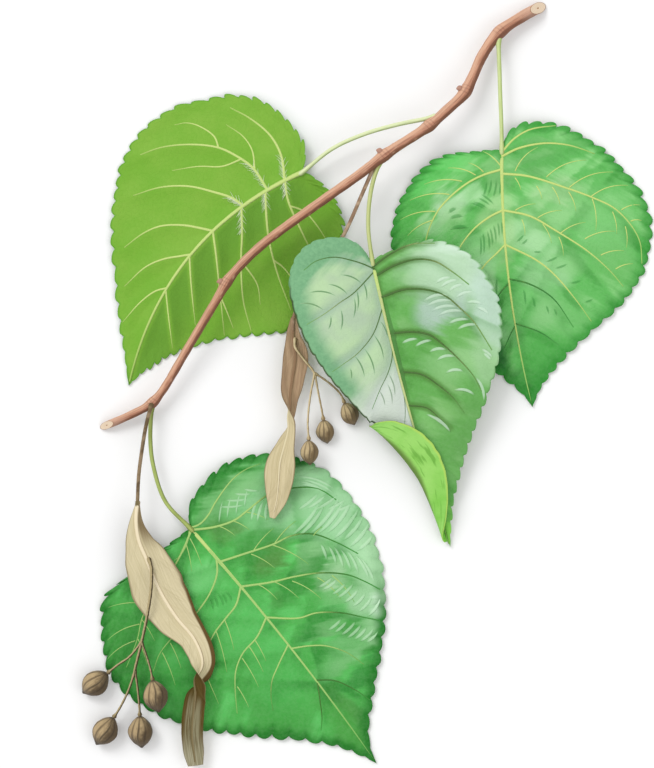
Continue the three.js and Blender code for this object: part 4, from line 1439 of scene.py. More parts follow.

# A wash is a soft patch of colour: (colour, place, radii, strength); the pale mint and whitish ones
# are painted sheen.  Place and radii are in shares of the blade's length: how far from the midrib,
# with left of it negative, and how far up.  A stalk's two colours are the shaded and the lit side's.
LEAF_LOOKS = {
    "upper_leaf": {
        "deep": (38, 128, 56), "base": (62, 160, 74), "bright": (96, 190, 98),
        "rim": (36, 124, 52), "rim_width": 1.0, "vein": (206, 224, 140),
        "dark_vein": (58, 112, 48), "petiole": ((154, 176, 110), (220, 230, 182)),
        "tone_and_sheen_washes": [],
    },
    "right_leaf": {
        "deep": (70, 156, 66), "base": (98, 184, 92), "bright": (138, 208, 128),
        "rim": (44, 144, 46), "rim_width": 5.5, "vein": (200, 218, 128),
        "dark_vein": (60, 128, 60), "petiole": ((154, 176, 98), (206, 220, 156)),
        "stroke_strength": 0.6,
        "light_stroke": (200, 228, 188), "dark_stroke": (58, 138, 62),
        "tone_and_sheen_washes": [
            ((88, 200, 90), (0.26, 0.0), (0.16, 0.1), 0.8),
            ((76, 172, 70), (0.4, 0.2), (0.1, 0.16), 0.7),
            ((92, 196, 92), (0.34, 0.1), (0.08, 0.06), 0.8),
            ((176, 222, 168), (0.27, 0.26), (0.06, 0.05), 0.8),
            ((200, 234, 194), (0.2, 0.19), (0.07, 0.06), 0.95),
            ((176, 224, 168), (0.12, 0.15), (0.05, 0.04), 0.85),
            ((86, 160, 78), (-0.12, 0.05), (0.13, 0.07), 0.7),
            ((150, 208, 138), (-0.2, 0.26), (0.16, 0.1), 0.7),
            ((134, 206, 126), (-0.4, 0.34), (0.12, 0.16), 0.6),
            ((166, 216, 158), (-0.07, 0.33), (0.08, 0.08), 0.8),
            ((162, 212, 156), (-0.15, 0.5), (0.1, 0.08), 0.7),
            ((158, 212, 154), (0.09, 0.46), (0.05, 0.08), 0.8),
            ((146, 200, 134), (0.2, 0.24), (0.06, 0.06), 0.8),
            ((170, 216, 154), (-0.2, 0.19), (0.1, 0.05), 0.8),
            ((118, 192, 112), (-0.1, 0.6), (0.14, 0.1), 0.5),
            ((126, 196, 118), (-0.2, 0.66), (0.1, 0.08), 0.5),
            ((150, 206, 142), (0.07, 0.5), (0.04, 0.06), 1.0),
            ((156, 210, 142), (0.01, 0.08), (0.06, 0.07), 0.65),
            ((172, 216, 152), (0.02, 0.3), (0.07, 0.15), 0.7),
            ((146, 206, 138), (0.12, 0.35), (0.05, 0.06), 0.7),
            ((174, 222, 166), (-0.15, 0.38), (0.07, 0.06), 0.75),
            ((148, 208, 138), (-0.23, 0.46), (0.08, 0.06), 0.65),
            ((148, 204, 138), (-0.13, 0.64), (0.07, 0.06), 0.5),
            ((128, 188, 122), (0.02, 0.7), (0.06, 0.06), 0.6),
            ((90, 174, 84), (-0.29, 0.02), (0.08, 0.05), 0.75),
            ((108, 184, 98), (-0.4, 0.48), (0.08, 0.1), 0.7),
            ((34, 112, 46), (0.11, 0.6), (0.03, 0.1), 0.9),
            ((34, 112, 46), (0.11, 0.8), (0.05, 0.13), 0.95),
            ((124, 188, 120), (0.06, 0.69), (0.02, 0.05), 0.8),
            ((40, 112, 42), (0.0, 0.98), (0.13, 0.13), 0.95),
            ((66, 158, 64), (-0.1, 0.84), (0.1, 0.12), 0.7),
        ],
    },
    "middle_leaf": {
        "deep": (82, 148, 64), "base": (106, 174, 88), "bright": (142, 196, 124),
        "rim": (104, 168, 88), "rim_width": 1.2, "vein": (196, 206, 140),
        "dark_vein": (80, 114, 60), "petiole": ((150, 164, 92), (198, 206, 142)),
        "stroke_strength": 0.58,
        "light_stroke": (208, 232, 210), "dark_stroke": (72, 116, 62),
        "tone_and_sheen_washes": [
            ((214, 236, 218), (-0.3, 0.08), (0.2, 0.13), 0.95),
            ((190, 216, 198), (-0.35, 0.26), (0.06, 0.2), 0.9),
            ((178, 200, 188), (-0.19, 0.22), (0.1, 0.06), 0.9),
            ((150, 196, 140), (-0.2, 0.1), (0.16, 0.08), 0.5),
            ((88, 160, 72), (-0.06, 0.34), (0.1, 0.2), 0.5),
            ((150, 202, 138), (-0.2, 0.4), (0.1, 0.07), 0.6),
            ((168, 208, 160), (-0.3, 0.42), (0.06, 0.1), 0.6),
            ((92, 154, 76), (-0.18, 0.64), (0.14, 0.16), 0.6),
            ((142, 198, 122), (-0.08, 0.56), (0.08, 0.05), 0.5),
            ((78, 150, 62), (-0.06, 0.86), (0.07, 0.1), 0.7),
            ((132, 208, 76), (0.0, 1.0), (0.3, 0.125), 1.0),
        ],
    },
    "lower_leaf": {
        "deep": (52, 140, 54), "base": (76, 170, 76), "bright": (94, 194, 98),
        "rim": (28, 118, 32), "rim_width": 4.5, "vein": (168, 204, 120),
        "dark_vein": (70, 120, 54), "petiole": ((104, 116, 52), (172, 188, 108)),
        "stroke_strength": 0.45,
        "light_stroke": (196, 230, 194), "dark_stroke": (58, 136, 60),
        "tone_and_sheen_washes": [
            ((150, 204, 150), (-0.32, 0.12), (0.2, 0.12), 0.9),
            ((162, 212, 162), (-0.43, 0.3), (0.14, 0.18), 0.95),
            ((176, 222, 174), (-0.4, 0.48), (0.09, 0.11), 0.95),
            ((124, 188, 120), (-0.26, 0.46), (0.1, 0.08), 0.7),
            ((160, 208, 158), (-0.31, 0.54), (0.08, 0.08), 0.9),
            ((150, 202, 146), (-0.25, 0.645), (0.06, 0.045), 0.9),
            ((148, 202, 142), (-0.255, 0.325), (0.07, 0.045), 0.85),
            ((204, 236, 204), (-0.34, 0.6), (0.05, 0.06), 0.9),
            ((134, 192, 128), (-0.17, 0.0), (0.13, 0.05), 0.85),
            ((42, 130, 42), (-0.11, -0.045), (0.09, 0.03), 0.85),
            (DEEP, (-0.14, -0.1), (0.1, 0.06), 0.95),
            (DEEP, (-0.28, -0.12), (0.14, 0.09), 0.95),
            (DEEP, (-0.46, 0.02), (0.1, 0.08), 0.95),
            ((96, 172, 96), (-0.52, 0.18), (0.05, 0.1), 0.8),
            (OLIVE, (-0.09, 0.08), (0.05, 0.05), 0.7),
            ((58, 142, 54), (-0.14, 0.2), (0.1, 0.08), 0.85),
            (OLIVE, (-0.15, 0.25), (0.07, 0.035), 0.6),
            ((56, 140, 56), (-0.2, 0.36), (0.12, 0.05), 0.85),
            ((46, 130, 50), (-0.1, 0.52), (0.1, 0.04), 0.85),
            ((62, 142, 60), (-0.18, 0.6), (0.05, 0.03), 0.8),
            ((142, 198, 136), (-0.14, 0.66), (0.06, 0.035), 0.85),
            ((54, 124, 46), (-0.035, 0.72), (0.03, 0.05), 0.8),
            ((72, 142, 62), (-0.035, 0.81), (0.03, 0.09), 0.8),
            ((120, 204, 122), (0.07, 0.16), (0.07, 0.05), 0.7),
            ((164, 208, 158), (-0.25, 0.415), (0.07, 0.035), 0.85),
            ((114, 178, 110), (-0.15, 0.55), (0.08, 0.03), 0.7),
            ((66, 138, 58), (-0.06, 0.37), (0.04, 0.03), 0.7),
            ((60, 146, 56), (0.17, 0.6), (0.1, 0.22), 0.55),
            ((48, 134, 48), (-0.19, 0.68), (0.04, 0.03), 0.8),
            ((46, 134, 46), (0.28, 0.0), (0.07, 0.05), 0.8),
            ((108, 180, 106), (-0.13, 0.64), (0.11, 0.05), 0.8),
            ((46, 132, 52), (-0.13, 0.74), (0.13, 0.03), 0.7),
            ((88, 186, 92), (0.07, 0.34), (0.1, 0.16), 0.7),
            ((80, 178, 84), (0.1, 0.56), (0.09, 0.13), 0.6),
            ((54, 138, 52), (0.46, 0.12), (0.16, 0.26), 0.9),
            ((56, 150, 58), (0.36, 0.4), (0.12, 0.1), 0.7),
            ((70, 150, 60), (0.02, 0.9), (0.05, 0.2), 0.7),
            ((40, 122, 42), (-0.06, 0.92), (0.05, 0.1), 0.8),
            ((36, 118, 40), (0.0, 1.0), (0.1, 0.07), 0.9),
        ],
    },
}

LEAF_READS = "near run rim shade glow across ahead kind ink lower share tint lit"


def spot(g, x, y, centre, radii):
    """A soft round patch of the blade, from 0 outside to 1 in its middle."""
    dx, dy = (g.math("DIVIDE", g.math("SUBTRACT", v, c), r) for v, c, r in zip((x, y), centre, radii))
    return g.ramp(g.math("SQRT", g.plus(g.times(dx, dx), g.times(dy, dy))), 1.35, 0.45)


def rim_strength(g, leaf, at, x):
    """Where the rim keeps its own colour: not at a pale left side, nor at a lime tip."""
    if leaf["name"] == "lower_leaf":
        return g.ramp(x, -0.46, -0.3)
    if leaf["name"] == "middle_leaf":
        return g.times(g.ramp(at["ahead"], 0.92, 0.86), 0.8)
    return 0.8


def leaf_material(leaf):
    look = LEAF_LOOKS[leaf["name"]]
    g = Graph(leaf["name"], roughness=0.55, specular=0.1)
    at = dict(zip(LEAF_READS.split(), g.attributes(LEAF_READS)))
    place = g.place()
    broad = g.noise(place, 75, 3)
    drift = g.noise(place, 38, 2)
    fine = g.noise(place, 900, 3, 0.6)
    outward = g.math("ABSOLUTE", at["across"])
    along = g.plus(g.times(outward, 1.8), g.times(at["ahead"], 1.2))
    beside = g.plus(g.times(outward, -9.0), g.times(at["ahead"], 13.0))
    brush = g.noise(g.vector(along, beside, g.times(drift, 0.6)), 2.2, 4)
    x = g.plus(at["across"], g.swing(broad, 0.14))
    y = g.plus(at["ahead"], g.swing(brush, 0.14))

    # The upper side: a painted shade on the tip side of each side vein and a painted highlight on
    # the other side.
    tone = g.plus(
        g.swing(broad, 1.5), g.swing(brush, 1.3), g.times(at["glow"], 0.32),
        g.times(at["shade"], -0.42), g.times(g.ramp(at["near"], 0.3, 3), 0.12),
    )
    upper = g.mix(g.ramp(tone, -0.5, 0.05), look["deep"], look["base"])
    upper = g.mix(g.ramp(tone, 0.1, 0.65), upper, look["bright"])
    shaded = g.times(at["shade"], 0.4)
    # Soft patches of tone; the pale mint and whitish ones are painted sheen.
    for colour, centre, radii, strength in look["tone_and_sheen_washes"]:
        share = g.times(spot(g, x, y, centre, radii), strength)
        upper = g.mix(g.times(share, g.without(shaded)), upper, colour)
    edge = g.ramp(g.plus(at["rim"], g.swing(broad, 5)), look["rim_width"], 0.0)
    upper = g.mix(g.times(edge, rim_strength(g, leaf, at, x)), upper, look["rim"])
    upper = g.mix(g.times(g.ramp(fine, 0.3, 0.7), 0.07), upper, MINT)
    if "flap" in leaf:
        # A painted shadow in a band beside the midrib.
        band = g.times(g.ramp(at["near"], 1.7, 0.5), g.ramp(at["run"], 34, 8), 0.75)
        upper = g.mix(band, upper, FOLDED["midrib"])
        upper = pale_half(g, upper, at, x, y, broad, fine)
    # Pale strokes add painted sheen; the dark stroke beside the folded leaf's midrib is painted shadow.
    if leaf["strokes"]:
        faint = g.times(g.ramp(at["share"], 0.0, 0.8), look["stroke_strength"])
        upper = g.mix(g.times(g.ramp(at["tint"], 0.0, 0.9), faint), upper, look["light_stroke"])
        upper = g.mix(g.times(g.ramp(at["tint"], 0.0, -0.9), faint), upper, look["dark_stroke"])

    # The underside: even yellow-green, with a painted shade in a band beside the midrib where the
    # blade turns away from the light.
    mottled = g.ramp(g.plus(g.times(broad, 0.8), g.times(fine, 0.3)), 0.35, 0.8)
    under = g.mix(mottled, UNDERSIDE["patches"], UNDERSIDE["base"])
    if leaf["upper_side"] < 0:
        # Painted shade on one side of the midrib.
        turned = g.times(g.ramp(at["across"], 0.0, -0.025), g.ramp(x, -0.21, -0.06))
        hollow = g.times(turned, g.ramp(y, -0.02, 0.1), g.ramp(at["near"], 0.1, 1.6))
        under = g.mix(g.times(hollow, 0.9), under, UNDERSIDE["deep"])
    under = g.mix(g.times(g.ramp(at["rim"], 0.9, 0.3), 0.6), under, UNDERSIDE["rim"])
    if "flap" in leaf:
        under = fresh_roll(g, under, at, broad)
    blade = g.mix(at["lower"], upper, under)

    # Veins, hairs and the stalk are told apart by their kind: 1, 2 and 3.
    inked = g.ramp(g.plus(at["ink"], g.swing(fine, 0.4)), 0.1, 0.9)
    vein = g.mix(inked, look["vein"], look["dark_vein"])
    vein = g.mix(at["lower"], vein, UNDERSIDE["vein"])
    faded = g.mix(at["lower"], look["base"], UNDERSIDE["base"])
    vein = g.mix(g.times(g.ramp(at["share"], 0.55, 1.05), 0.6), vein, faded)
    # Veins are painted darker on their side away from the sun: painted shade.
    vein = g.mix(g.times(g.ramp(at["lit"], 0.35, -0.4), 0.35), vein, look["dark_vein"])
    grain = g.noise(g.vector(g.times(at["run"], 0.12), g.times(at["lit"], 2.5)), 2.0, 3)
    stalk = g.mix(g.ramp(g.plus(g.times(at["lit"], 0.75), grain), 0.2, 1.2), *look["petiole"])
    colour = g.mix(g.ramp(at["kind"], 0.4, 0.6), blade, vein)
    colour = g.mix(g.ramp(at["kind"], 1.4, 1.6), colour, UNDERSIDE["hair"])
    colour = g.mix(g.ramp(at["kind"], 2.4, 2.6), colour, stalk)
    pores = g.cells(place, 620)
    g.bump(g.plus(g.times(g.ramp(pores, 0.0, 0.12), 0.6), g.times(fine, 0.7)), 0.00014, 0.55)
    return g.colour(colour)


def pale_half(g, upper, at, x, y, broad, fine):
    """The half of the folded leaf that turns its pale sheen to the light."""
    off_veins = g.ramp(g.plus(at["near"], g.times(broad, 4)), 2.0, 5.5)
    pale_sheen = g.mix(off_veins, *FOLDED["pale_sheen"])
    pale_sheen = g.mix(g.times(g.ramp(broad, 0.4, 0.7), 0.7), pale_sheen, FOLDED["pale_sheen_patches"])
    teal = g.mix(g.ramp(fine, 0.35, 0.65), *FOLDED["teal"])
    top = g.plus(g.ramp(g.plus(y, g.times(x, -0.12)), 0.02, -0.07), g.ramp(at["rim"], 9.5, 2.5))
    pale_sheen = g.mix(g.times(g.math("MINIMUM", top, 1.0), g.ramp(at["ahead"], 0.5, 0.38)), pale_sheen, teal)
    grey = g.ramp(g.plus(y, g.times(x, -0.5)), 0.3, 0.44)
    pale_sheen = g.mix(g.times(grey, 0.85), pale_sheen, FOLDED["grey"])
    inked = g.times(g.ramp(at["rim"], 0.8, 0.3), g.ramp(at["ahead"], -0.04, 0.06))
    pale_sheen = g.mix(inked, pale_sheen, FOLDED["outline"])
    side = g.ramp(at["across"], 0.0, 0.008)
    lime = spot(g, at["across"], at["ahead"], (0.0, 0.98), (0.12, 0.07))
    return g.mix(g.times(side, g.without(lime)), upper, pale_sheen)


def fresh_roll(g, under, at, broad):
    """The bright rolled margin, with a yellow free edge and dark creases along the roll."""
    rolled, along = g.attribute("rolled"), at["share"]
    fresh = g.mix(g.ramp(broad, 0.35, 0.65), *FOLDED["roll"])
    crease = g.noise(g.vector(g.times(along, 9), g.times(rolled, 5)), 1.6, 2)
    fresh = g.mix(g.times(g.ramp(crease, 0.54, 0.66), 0.6), fresh, FOLDED["crease"])
    fresh = g.mix(g.times(g.ramp(rolled, 0.4, 0.27), 0.85), fresh, FOLDED["turn"])
    fresh = g.mix(g.ramp(rolled, 0.92, 0.98), fresh, FOLDED["free_edge"])
    return g.mix(g.ramp(rolled, 0.0, 0.02), under, fresh)


LEAF_MATERIALS = {leaf["name"]: leaf_material(leaf) for leaf in LEAVES}

for number, leaf in enumerate(LEAVES):
    make_leaf(leaf, 11 + 10 * number)

# ------------------------------------------------------------------ twig


def twig_radius(share, length):
    radius = between(TWIG["radii"], share ** TWIG["taper_power"])
    for node in TWIG["nodes"]:
        away = (share - node) * length / TWIG["node_length"]
        radius = radius + TWIG["node_swelling"] * np.exp(-away * away)
    return radius


def cut_shares(route, end, outward, angle, turns):
    """For each line along the bark, the share where the slanting cut meets it."""
    along, _, top = (v[0] for v in route.frames(np.array([end])))
    tilt = math.radians(angle)
    normal = along * outward * math.sin(tilt) + top * math.cos(tilt)
    radius = twig_radius(np.array([end]), route.length)[0]
    middle = route.at(np.array([end]))[0] - along * outward * radius / math.tan(tilt)
    shares = np.linspace(end, end - outward * 0.12, 400)
    _, sides, tops = route.frames(shares)
    centre = route.at(shares)
    radii = twig_radius(shares, route.length)
    found = []
    for turn in turns:
        places = centre + (sides * math.cos(turn) + tops * math.sin(turn)) * radii[:, None]
        inside = (places - middle) @ normal < 0
        found.append(shares[np.argmax(inside)])
    return np.array(found)


def bark_relief(turn, run, radius, length, random):
    """Furrows from -1 to 1, and pores and ring scars from 0 to 1, at each point of the bark."""
    furrow, pores, scars = np.zeros((3, len(run)))
    for _ in range(BARK["furrows"]):
        lobes = random.integers(*BARK["furrow_lobes"])
        drift = random.uniform(-BARK["furrow_drift"], BARK["furrow_drift"])
        furrow += np.cos(lobes * turn + drift * run + random.uniform(0, PHASES)) / BARK["furrows"]
    for _ in range(BARK["pores"]):
        at, around = random.uniform(0, length), random.uniform(0, 2 * math.pi)
        size = random.uniform(*BARK["pore_size"])
        dx = (run - at) / size
        dy = np.angle(np.exp(1j * (turn - around))) * radius / (size * BARK["pore_shape"])
        pores += np.exp(-dx * dx - dy * dy)
    for node in TWIG["nodes"]:
        for shift in BARK["scar_places"]:
            lean = BARK["scar_lean"] * np.cos(turn - shift)
            scars += np.exp(-(((run - node * length - shift - lean) / BARK["scar_width"]) ** 2))
    return furrow, np.minimum(pores, 1), np.minimum(scars, 1)


def make_twig():
    route = Route(TWIG["route"])
    random = np.random.default_rng(3)
    rings, sides = BARK["rings"], BARK["sides"]
    turns = turns_round(sides)
    first = cut_shares(route, 0.0, -1, TWIG["thick_cut_angle"], turns)
    last = cut_shares(route, 1.0, 1, TWIG["thin_cut_angle"], turns)
    t = np.linspace(0, 1, rings)[:, None]
    share = first[None, :] + (last - first)[None, :] * t
    flat = share.ravel()
    _, side, top = route.frames(flat)
    turn = np.broadcast_to(turns, share.shape).ravel()
    run = flat * route.length
    radius = twig_radius(flat, route.length)
    furrow, pores, scars = bark_relief(turn, run, radius, route.length, random)
    radius = radius + BARK["furrow_height"] * furrow + BARK["pore_height"] * pores
    radius = radius - BARK["scar_depth"] * scars
    radius = radius + BARK["sway"] * np.sin(run * BARK["sway_pace"] + 2 * np.sin(turn))
    out = side * np.cos(turn)[:, None] + top * np.sin(turn)[:, None]
    places = route.at(flat) + out * radius[:, None]

    shell = Shell()
    grid = places.reshape(rings, sides, 3)
    lanes = BARK["map_lanes"]

    def lane_uv(_, faces):
        ring = faces // sides
        lane = ring[:, :1] * lanes // rings
        u = (ring - lane * rings / lanes) / (rings / lanes) * 0.96 + 0.02
        column = faces % sides
        wrapped = np.where((column == 0) & (column.max(1, keepdims=True) == sides - 1), sides, column)
        v = (lane + 0.04 + 0.84 * wrapped / sides) / (lanes + 1)
        return np.stack([u, v], -1)

    shell.add(
        places, grid_faces(rings, sides, closed=True), lane_uv,
        run=run, furrow=furrow, pores=pores, scars=scars, turn=np.cos(turn),
        end=np.minimum(t, 1 - t).repeat(sides, 1).ravel() * route.length,
    )
    for number, ring in ((0, grid[0]), (1, grid[-1])):
        add_cut_face(shell, ring, number)
    for node in TWIG["bud_nodes"]:
        add_bud(shell, route, TWIG["nodes"][node])
    finish_piece(shell.build("twig", bark_material(), with_uv=True), "bark", "twig")


def add_cut_face(shell, ring, number):
    """The pale wood of a slanting knife cut, with its growth rings and the pith."""
    centre = ring.mean(0)
    steps = np.linspace(0, 1, CUT_FACE["steps"])
    normal = unit(np.cross(ring[1] - ring[0], ring[len(ring) // 4 + 1] - ring[0]))
    if normal[2] < 0:
        normal = -normal
    levels = []
    for step in steps:
        dip = CUT_FACE["ring_dip"] * math.sin(step * CUT_FACE["rings"]) - CUT_FACE["hollow"] * step**6
        inward = (centre - ring) * step * CUT_FACE["inset"]
        levels.append(ring + inward + normal * dip * min(1, step * 4))
    count = len(ring)
    points = np.vstack([*levels, centre[None, :] - normal * CUT_FACE["pith"]])
    faces = [
        grid_faces(len(steps), count, closed=True),
        fan_faces(np.arange(count) + count * (len(steps) - 1), count * len(steps)),
    ]
    core = np.concatenate([np.repeat(steps, count), [1.0]])

    def uv(p, f):
        size = np.linalg.norm(ring - centre, axis=1).max() * 2.2
        axis = unit(ring[0] - centre)
        across = np.cross(normal, axis)
        flat = np.stack([(p - centre) @ axis, (p - centre) @ across], -1) / size
        return (flat * 0.12 + np.array([0.1 + 0.2 * number, 0.93]))[f]

    shell.add(points, faces, uv, wood=1.0, core=core)


def add_bud(shell, route, node):
    """A pointed bud of two overlapping scales, set aslant on its cushion."""
    share = np.array([node])
    along, side, top = (v[0] for v in route.frames(share))
    tilt = math.radians(TWIG["bud_turn"])
    out = side * math.cos(tilt) + top * math.sin(tilt)
    base = route.at(share)[0] + out * (twig_radius(share, route.length)[0] - BUD["sunk"])
    axis = unit(out * BUD["lean"][0] + along * BUD["lean"][1])
    u = unit(np.cross(axis, UP))
    v = np.cross(u, axis)
    rows, sides = BUD["rows"], BUD["sides"]
    t = np.linspace(0, 1, rows)[:, None]
    turn = turns_round(sides)[None, :]
    girth = BUD["girth"] * np.sin(math.pi * np.minimum(t * 0.9 + 0.12, 1)) ** 0.75
    overlap = BUD["overlap"] * smooth(0.0, 0.12, np.sin(turn + BUD["scale_twist"] * t)) * (1 - t)
    radius = girth * (1 + overlap)
    points = base + axis * (t * BUD["length"])[..., None]
    points = points + (u * np.cos(turn)[..., None] + v * np.sin(turn)[..., None]) * radius[..., None]
    every = np.vstack([points.reshape(-1, 3), base, base + axis * BUD["point"]])

    def uv(p, f):
        corner = np.array([0.55 + 0.1 * TWIG["nodes"].index(node), 0.93])
        at = np.stack([(p - base) @ u, (p - base) @ axis - 1.1], -1) / 3.2 * 0.09 + corner
        return at[f]

    toward_tip = np.concatenate([np.repeat(t.ravel(), sides), [0, 1]])
    shell.add(every, capped_faces(rows, sides), uv, bud=1.0, scars=0.3 * toward_tip)


BARK_TONES = {
    "streaks": ((172, 118, 92), (202, 148, 120)), "lit": (228, 182, 152), "shaded": (112, 70, 50),
    "furrow": (110, 66, 52), "patches": (158, 104, 74), "pore": (212, 172, 142),
    "scar": (112, 66, 52), "bud": (120, 54, 44), "near_cut": (206, 170, 150),
    "wood": ((232, 212, 186), (198, 160, 124)), "rind": (164, 118, 80), "pith": (150, 110, 72),
}


def bark_material():
    g = Graph("bark", roughness=0.62, specular=0.25)
    tones = BARK_TONES
    run, turn, end, furrow, pores = g.attributes("run turn end furrow pores")
    scars, wood, core, bud = g.attributes("scars wood core bud")
    place = g.place()
    streak = g.noise(g.vector(g.times(run, 0.16), g.times(turn, 4.0), g.times(furrow, 3.0)), 1.6, 4, 0.6)
    broad = g.noise(place, 55, 3)
    side = g.plus(turn, g.swing(streak, 0.7))
    bark = g.mix(g.ramp(streak, 0.3, 0.68), *tones["streaks"])
    bark = g.mix(g.times(g.ramp(side, -0.1, 0.5), 0.75), bark, tones["lit"])
    bark = g.mix(g.times(g.ramp(side, -0.1, -0.6), 0.85), bark, tones["shaded"])
    bark = g.mix(g.times(g.ramp(furrow, 0.02, -0.3), 0.4), bark, tones["furrow"])
    bark = g.mix(g.times(g.ramp(broad, 0.5, 0.75), 0.35), bark, tones["patches"])
    bark = g.mix(g.times(pores, 0.5), bark, tones["pore"])
    bark = g.mix(g.times(scars, 0.4), bark, tones["scar"])
    bark = g.mix(g.times(bud, 0.6), bark, tones["bud"])
    bark = g.mix(g.times(g.ramp(end, 7.0, 0.5), 0.45), bark, tones["near_cut"])
    rings = g.ramp(g.math("SINE", g.times(core, 30.0)), -0.6, 1.0)
    cut = g.mix(g.times(rings, 0.35), *tones["wood"])
    cut = g.mix(g.ramp(core, 0.84, 0.96), cut, tones["rind"])
    cut = g.mix(g.ramp(core, 0.1, 0.02), cut, tones["pith"])
    fine = g.noise(place, 1500, 4, 0.65)
    g.bump(g.plus(fine, g.times(streak, 1.6)), 0.00018, 0.7)
    return g.colour(g.mix(wood, bark, cut))


make_twig()

# ------------------------------------------------------------------ bracts


def bract_frames(bract, share):
    """Places, directions across and outward, and half widths along a bract's blade."""
    stations = np.array(bract["stations"], float)
    step = 1e-3
    places = catmull(stations[:, :3], share)
    ends = [catmull(stations[:, :3], np.clip(share + s, 0, 1)) for s in (step, -step)]
    along = unit(ends[0] - ends[1])
    side = unit(np.cross(along, UP))
    top = np.cross(side, along)
    turn = np.radians(heights_at(stations[:, 4], share))[:, None]
    across = side * np.cos(turn) + top * np.sin(turn)
    face = top * np.cos(turn) - side * np.sin(turn)
    return places, across, face, heights_at(stations[:, 3], share)


def make_bract(bract, look, seed):
    random = np.random.default_rng(seed)
    rows = (len(bract["stations"]) - 1) * BRACT["rows_per_station"] + 1
    share = np.linspace(0, 1, rows)
    places, across, face, width = bract_frames(bract, share)
    columns = np.linspace(-1, 1, BRACT["columns"] * 2 + 1)
    run = run_along(places)
    v = columns[None, :]
    wave = np.zeros((rows, 1))
    edge_wave = np.zeros((rows, 2))
    for _ in range(BRACT["waves"]):
        size = random.uniform(*BRACT["wave_size"])
        wave[:, 0] += np.sin(run / size * PHASES + random.uniform(0, PHASES)) / BRACT["waves"]
        for i in (0, 1):
            edge_wave[:, i] += np.sin(run / size * 9 + random.uniform(0, PHASES)) / BRACT["waves"]
    ragged = 1 + BRACT["ragged"] * np.where(v < 0, edge_wave[:, :1], edge_wave[:, 1:])
    centre, reach, depth = bract["curl"]
    curl = BRACT["trough"] + depth * np.exp(-(((share - centre) / reach) ** 2))
    trough = (curl * width)[:, None] * (v * v - 0.5)
    pleats = np.sin(v * BRACT["pleats"] + run[:, None] * 0.35)
    crimp = BRACT["crimp"] * wave * v * v + BRACT["pleat"] * pleats
    crimp = crimp * smooth(0, 3, width[:, None] - 0.9)
    surface = places[:, None] + across[:, None] * (v * width[:, None] * ragged)[..., None]
    surface = surface + face[:, None] * (trough + crimp)[..., None]
    thin = BRACT["thickness"] / 2 * (1 - BRACT["rim_thinning"] * v * v)
    upper = surface + face[:, None] * thin[..., None]
    lower = surface - face[:, None] * thin[..., None]
    grid = {"run": run[:, None], "v": v, "across": v * width[:, None], "share": share[:, None]}
    size = rows * len(columns)
    values = {
        key: np.tile(np.broadcast_to(value, upper.shape[:2]).ravel(), 2) for key, value in grid.items()
    }
    values["back"] = np.concatenate([np.zeros(size), np.ones(size)])
    boxes = [(0.02, 0.02 + 0.4 * row, 0.96, 0.36) for row in (0, 1)]
    shell = Shell()
    maps = [strip_uv(box, rows, len(columns)) for box in boxes]
    closed_sheet(shell, upper, lower, maps, values)

    def rod_map(row, count):
        box = (0.02, 0.82 + 0.06 * row, 0.96, 0.045)
        return strip_uv(box, count + 2, BRACT["rod_sides"], closed=True)

    # The midvein on both faces, then the stalk.
    middle = len(columns) // 2
    keep = slice(0, int(rows * BRACT["midvein_end"]), 2)
    for row, (sheet, way) in enumerate(((upper, -1), (lower, 1))):
        radius = look["midvein"] * (1 - share[keep]) ** BRACT["midvein_power"] + BRACT["midvein_least"]
        path = sheet[keep, middle] + face[keep] * (way * BRACT["midvein_sink"] * radius)[:, None]
        tube(
            shell, path, radius, BRACT["rod_sides"], uv=rod_map(row, len(path)),
            kind=1.0, share=share[keep], back=float(row), run=run[keep],
        )
    route = Route(bract["stalk"])
    t = np.linspace(0.02, 1, BRACT["stalk_rings"])
    radius = between(BRACT["stalk_radii"], t)
    radius = radius + BRACT["stalk_foot"] * np.exp(-((t * route.length / 2) ** 2))
    tube(
        shell, route.at(t), radius, BRACT["rod_sides"], uv=rod_map(2, len(t)),
        kind=2.0, run=t * route.length, share=t,
    )
    piece = shell.build(bract["name"], bract_material(bract["name"], look), with_uv=True)
    finish_piece(piece, "bract", bract["name"])


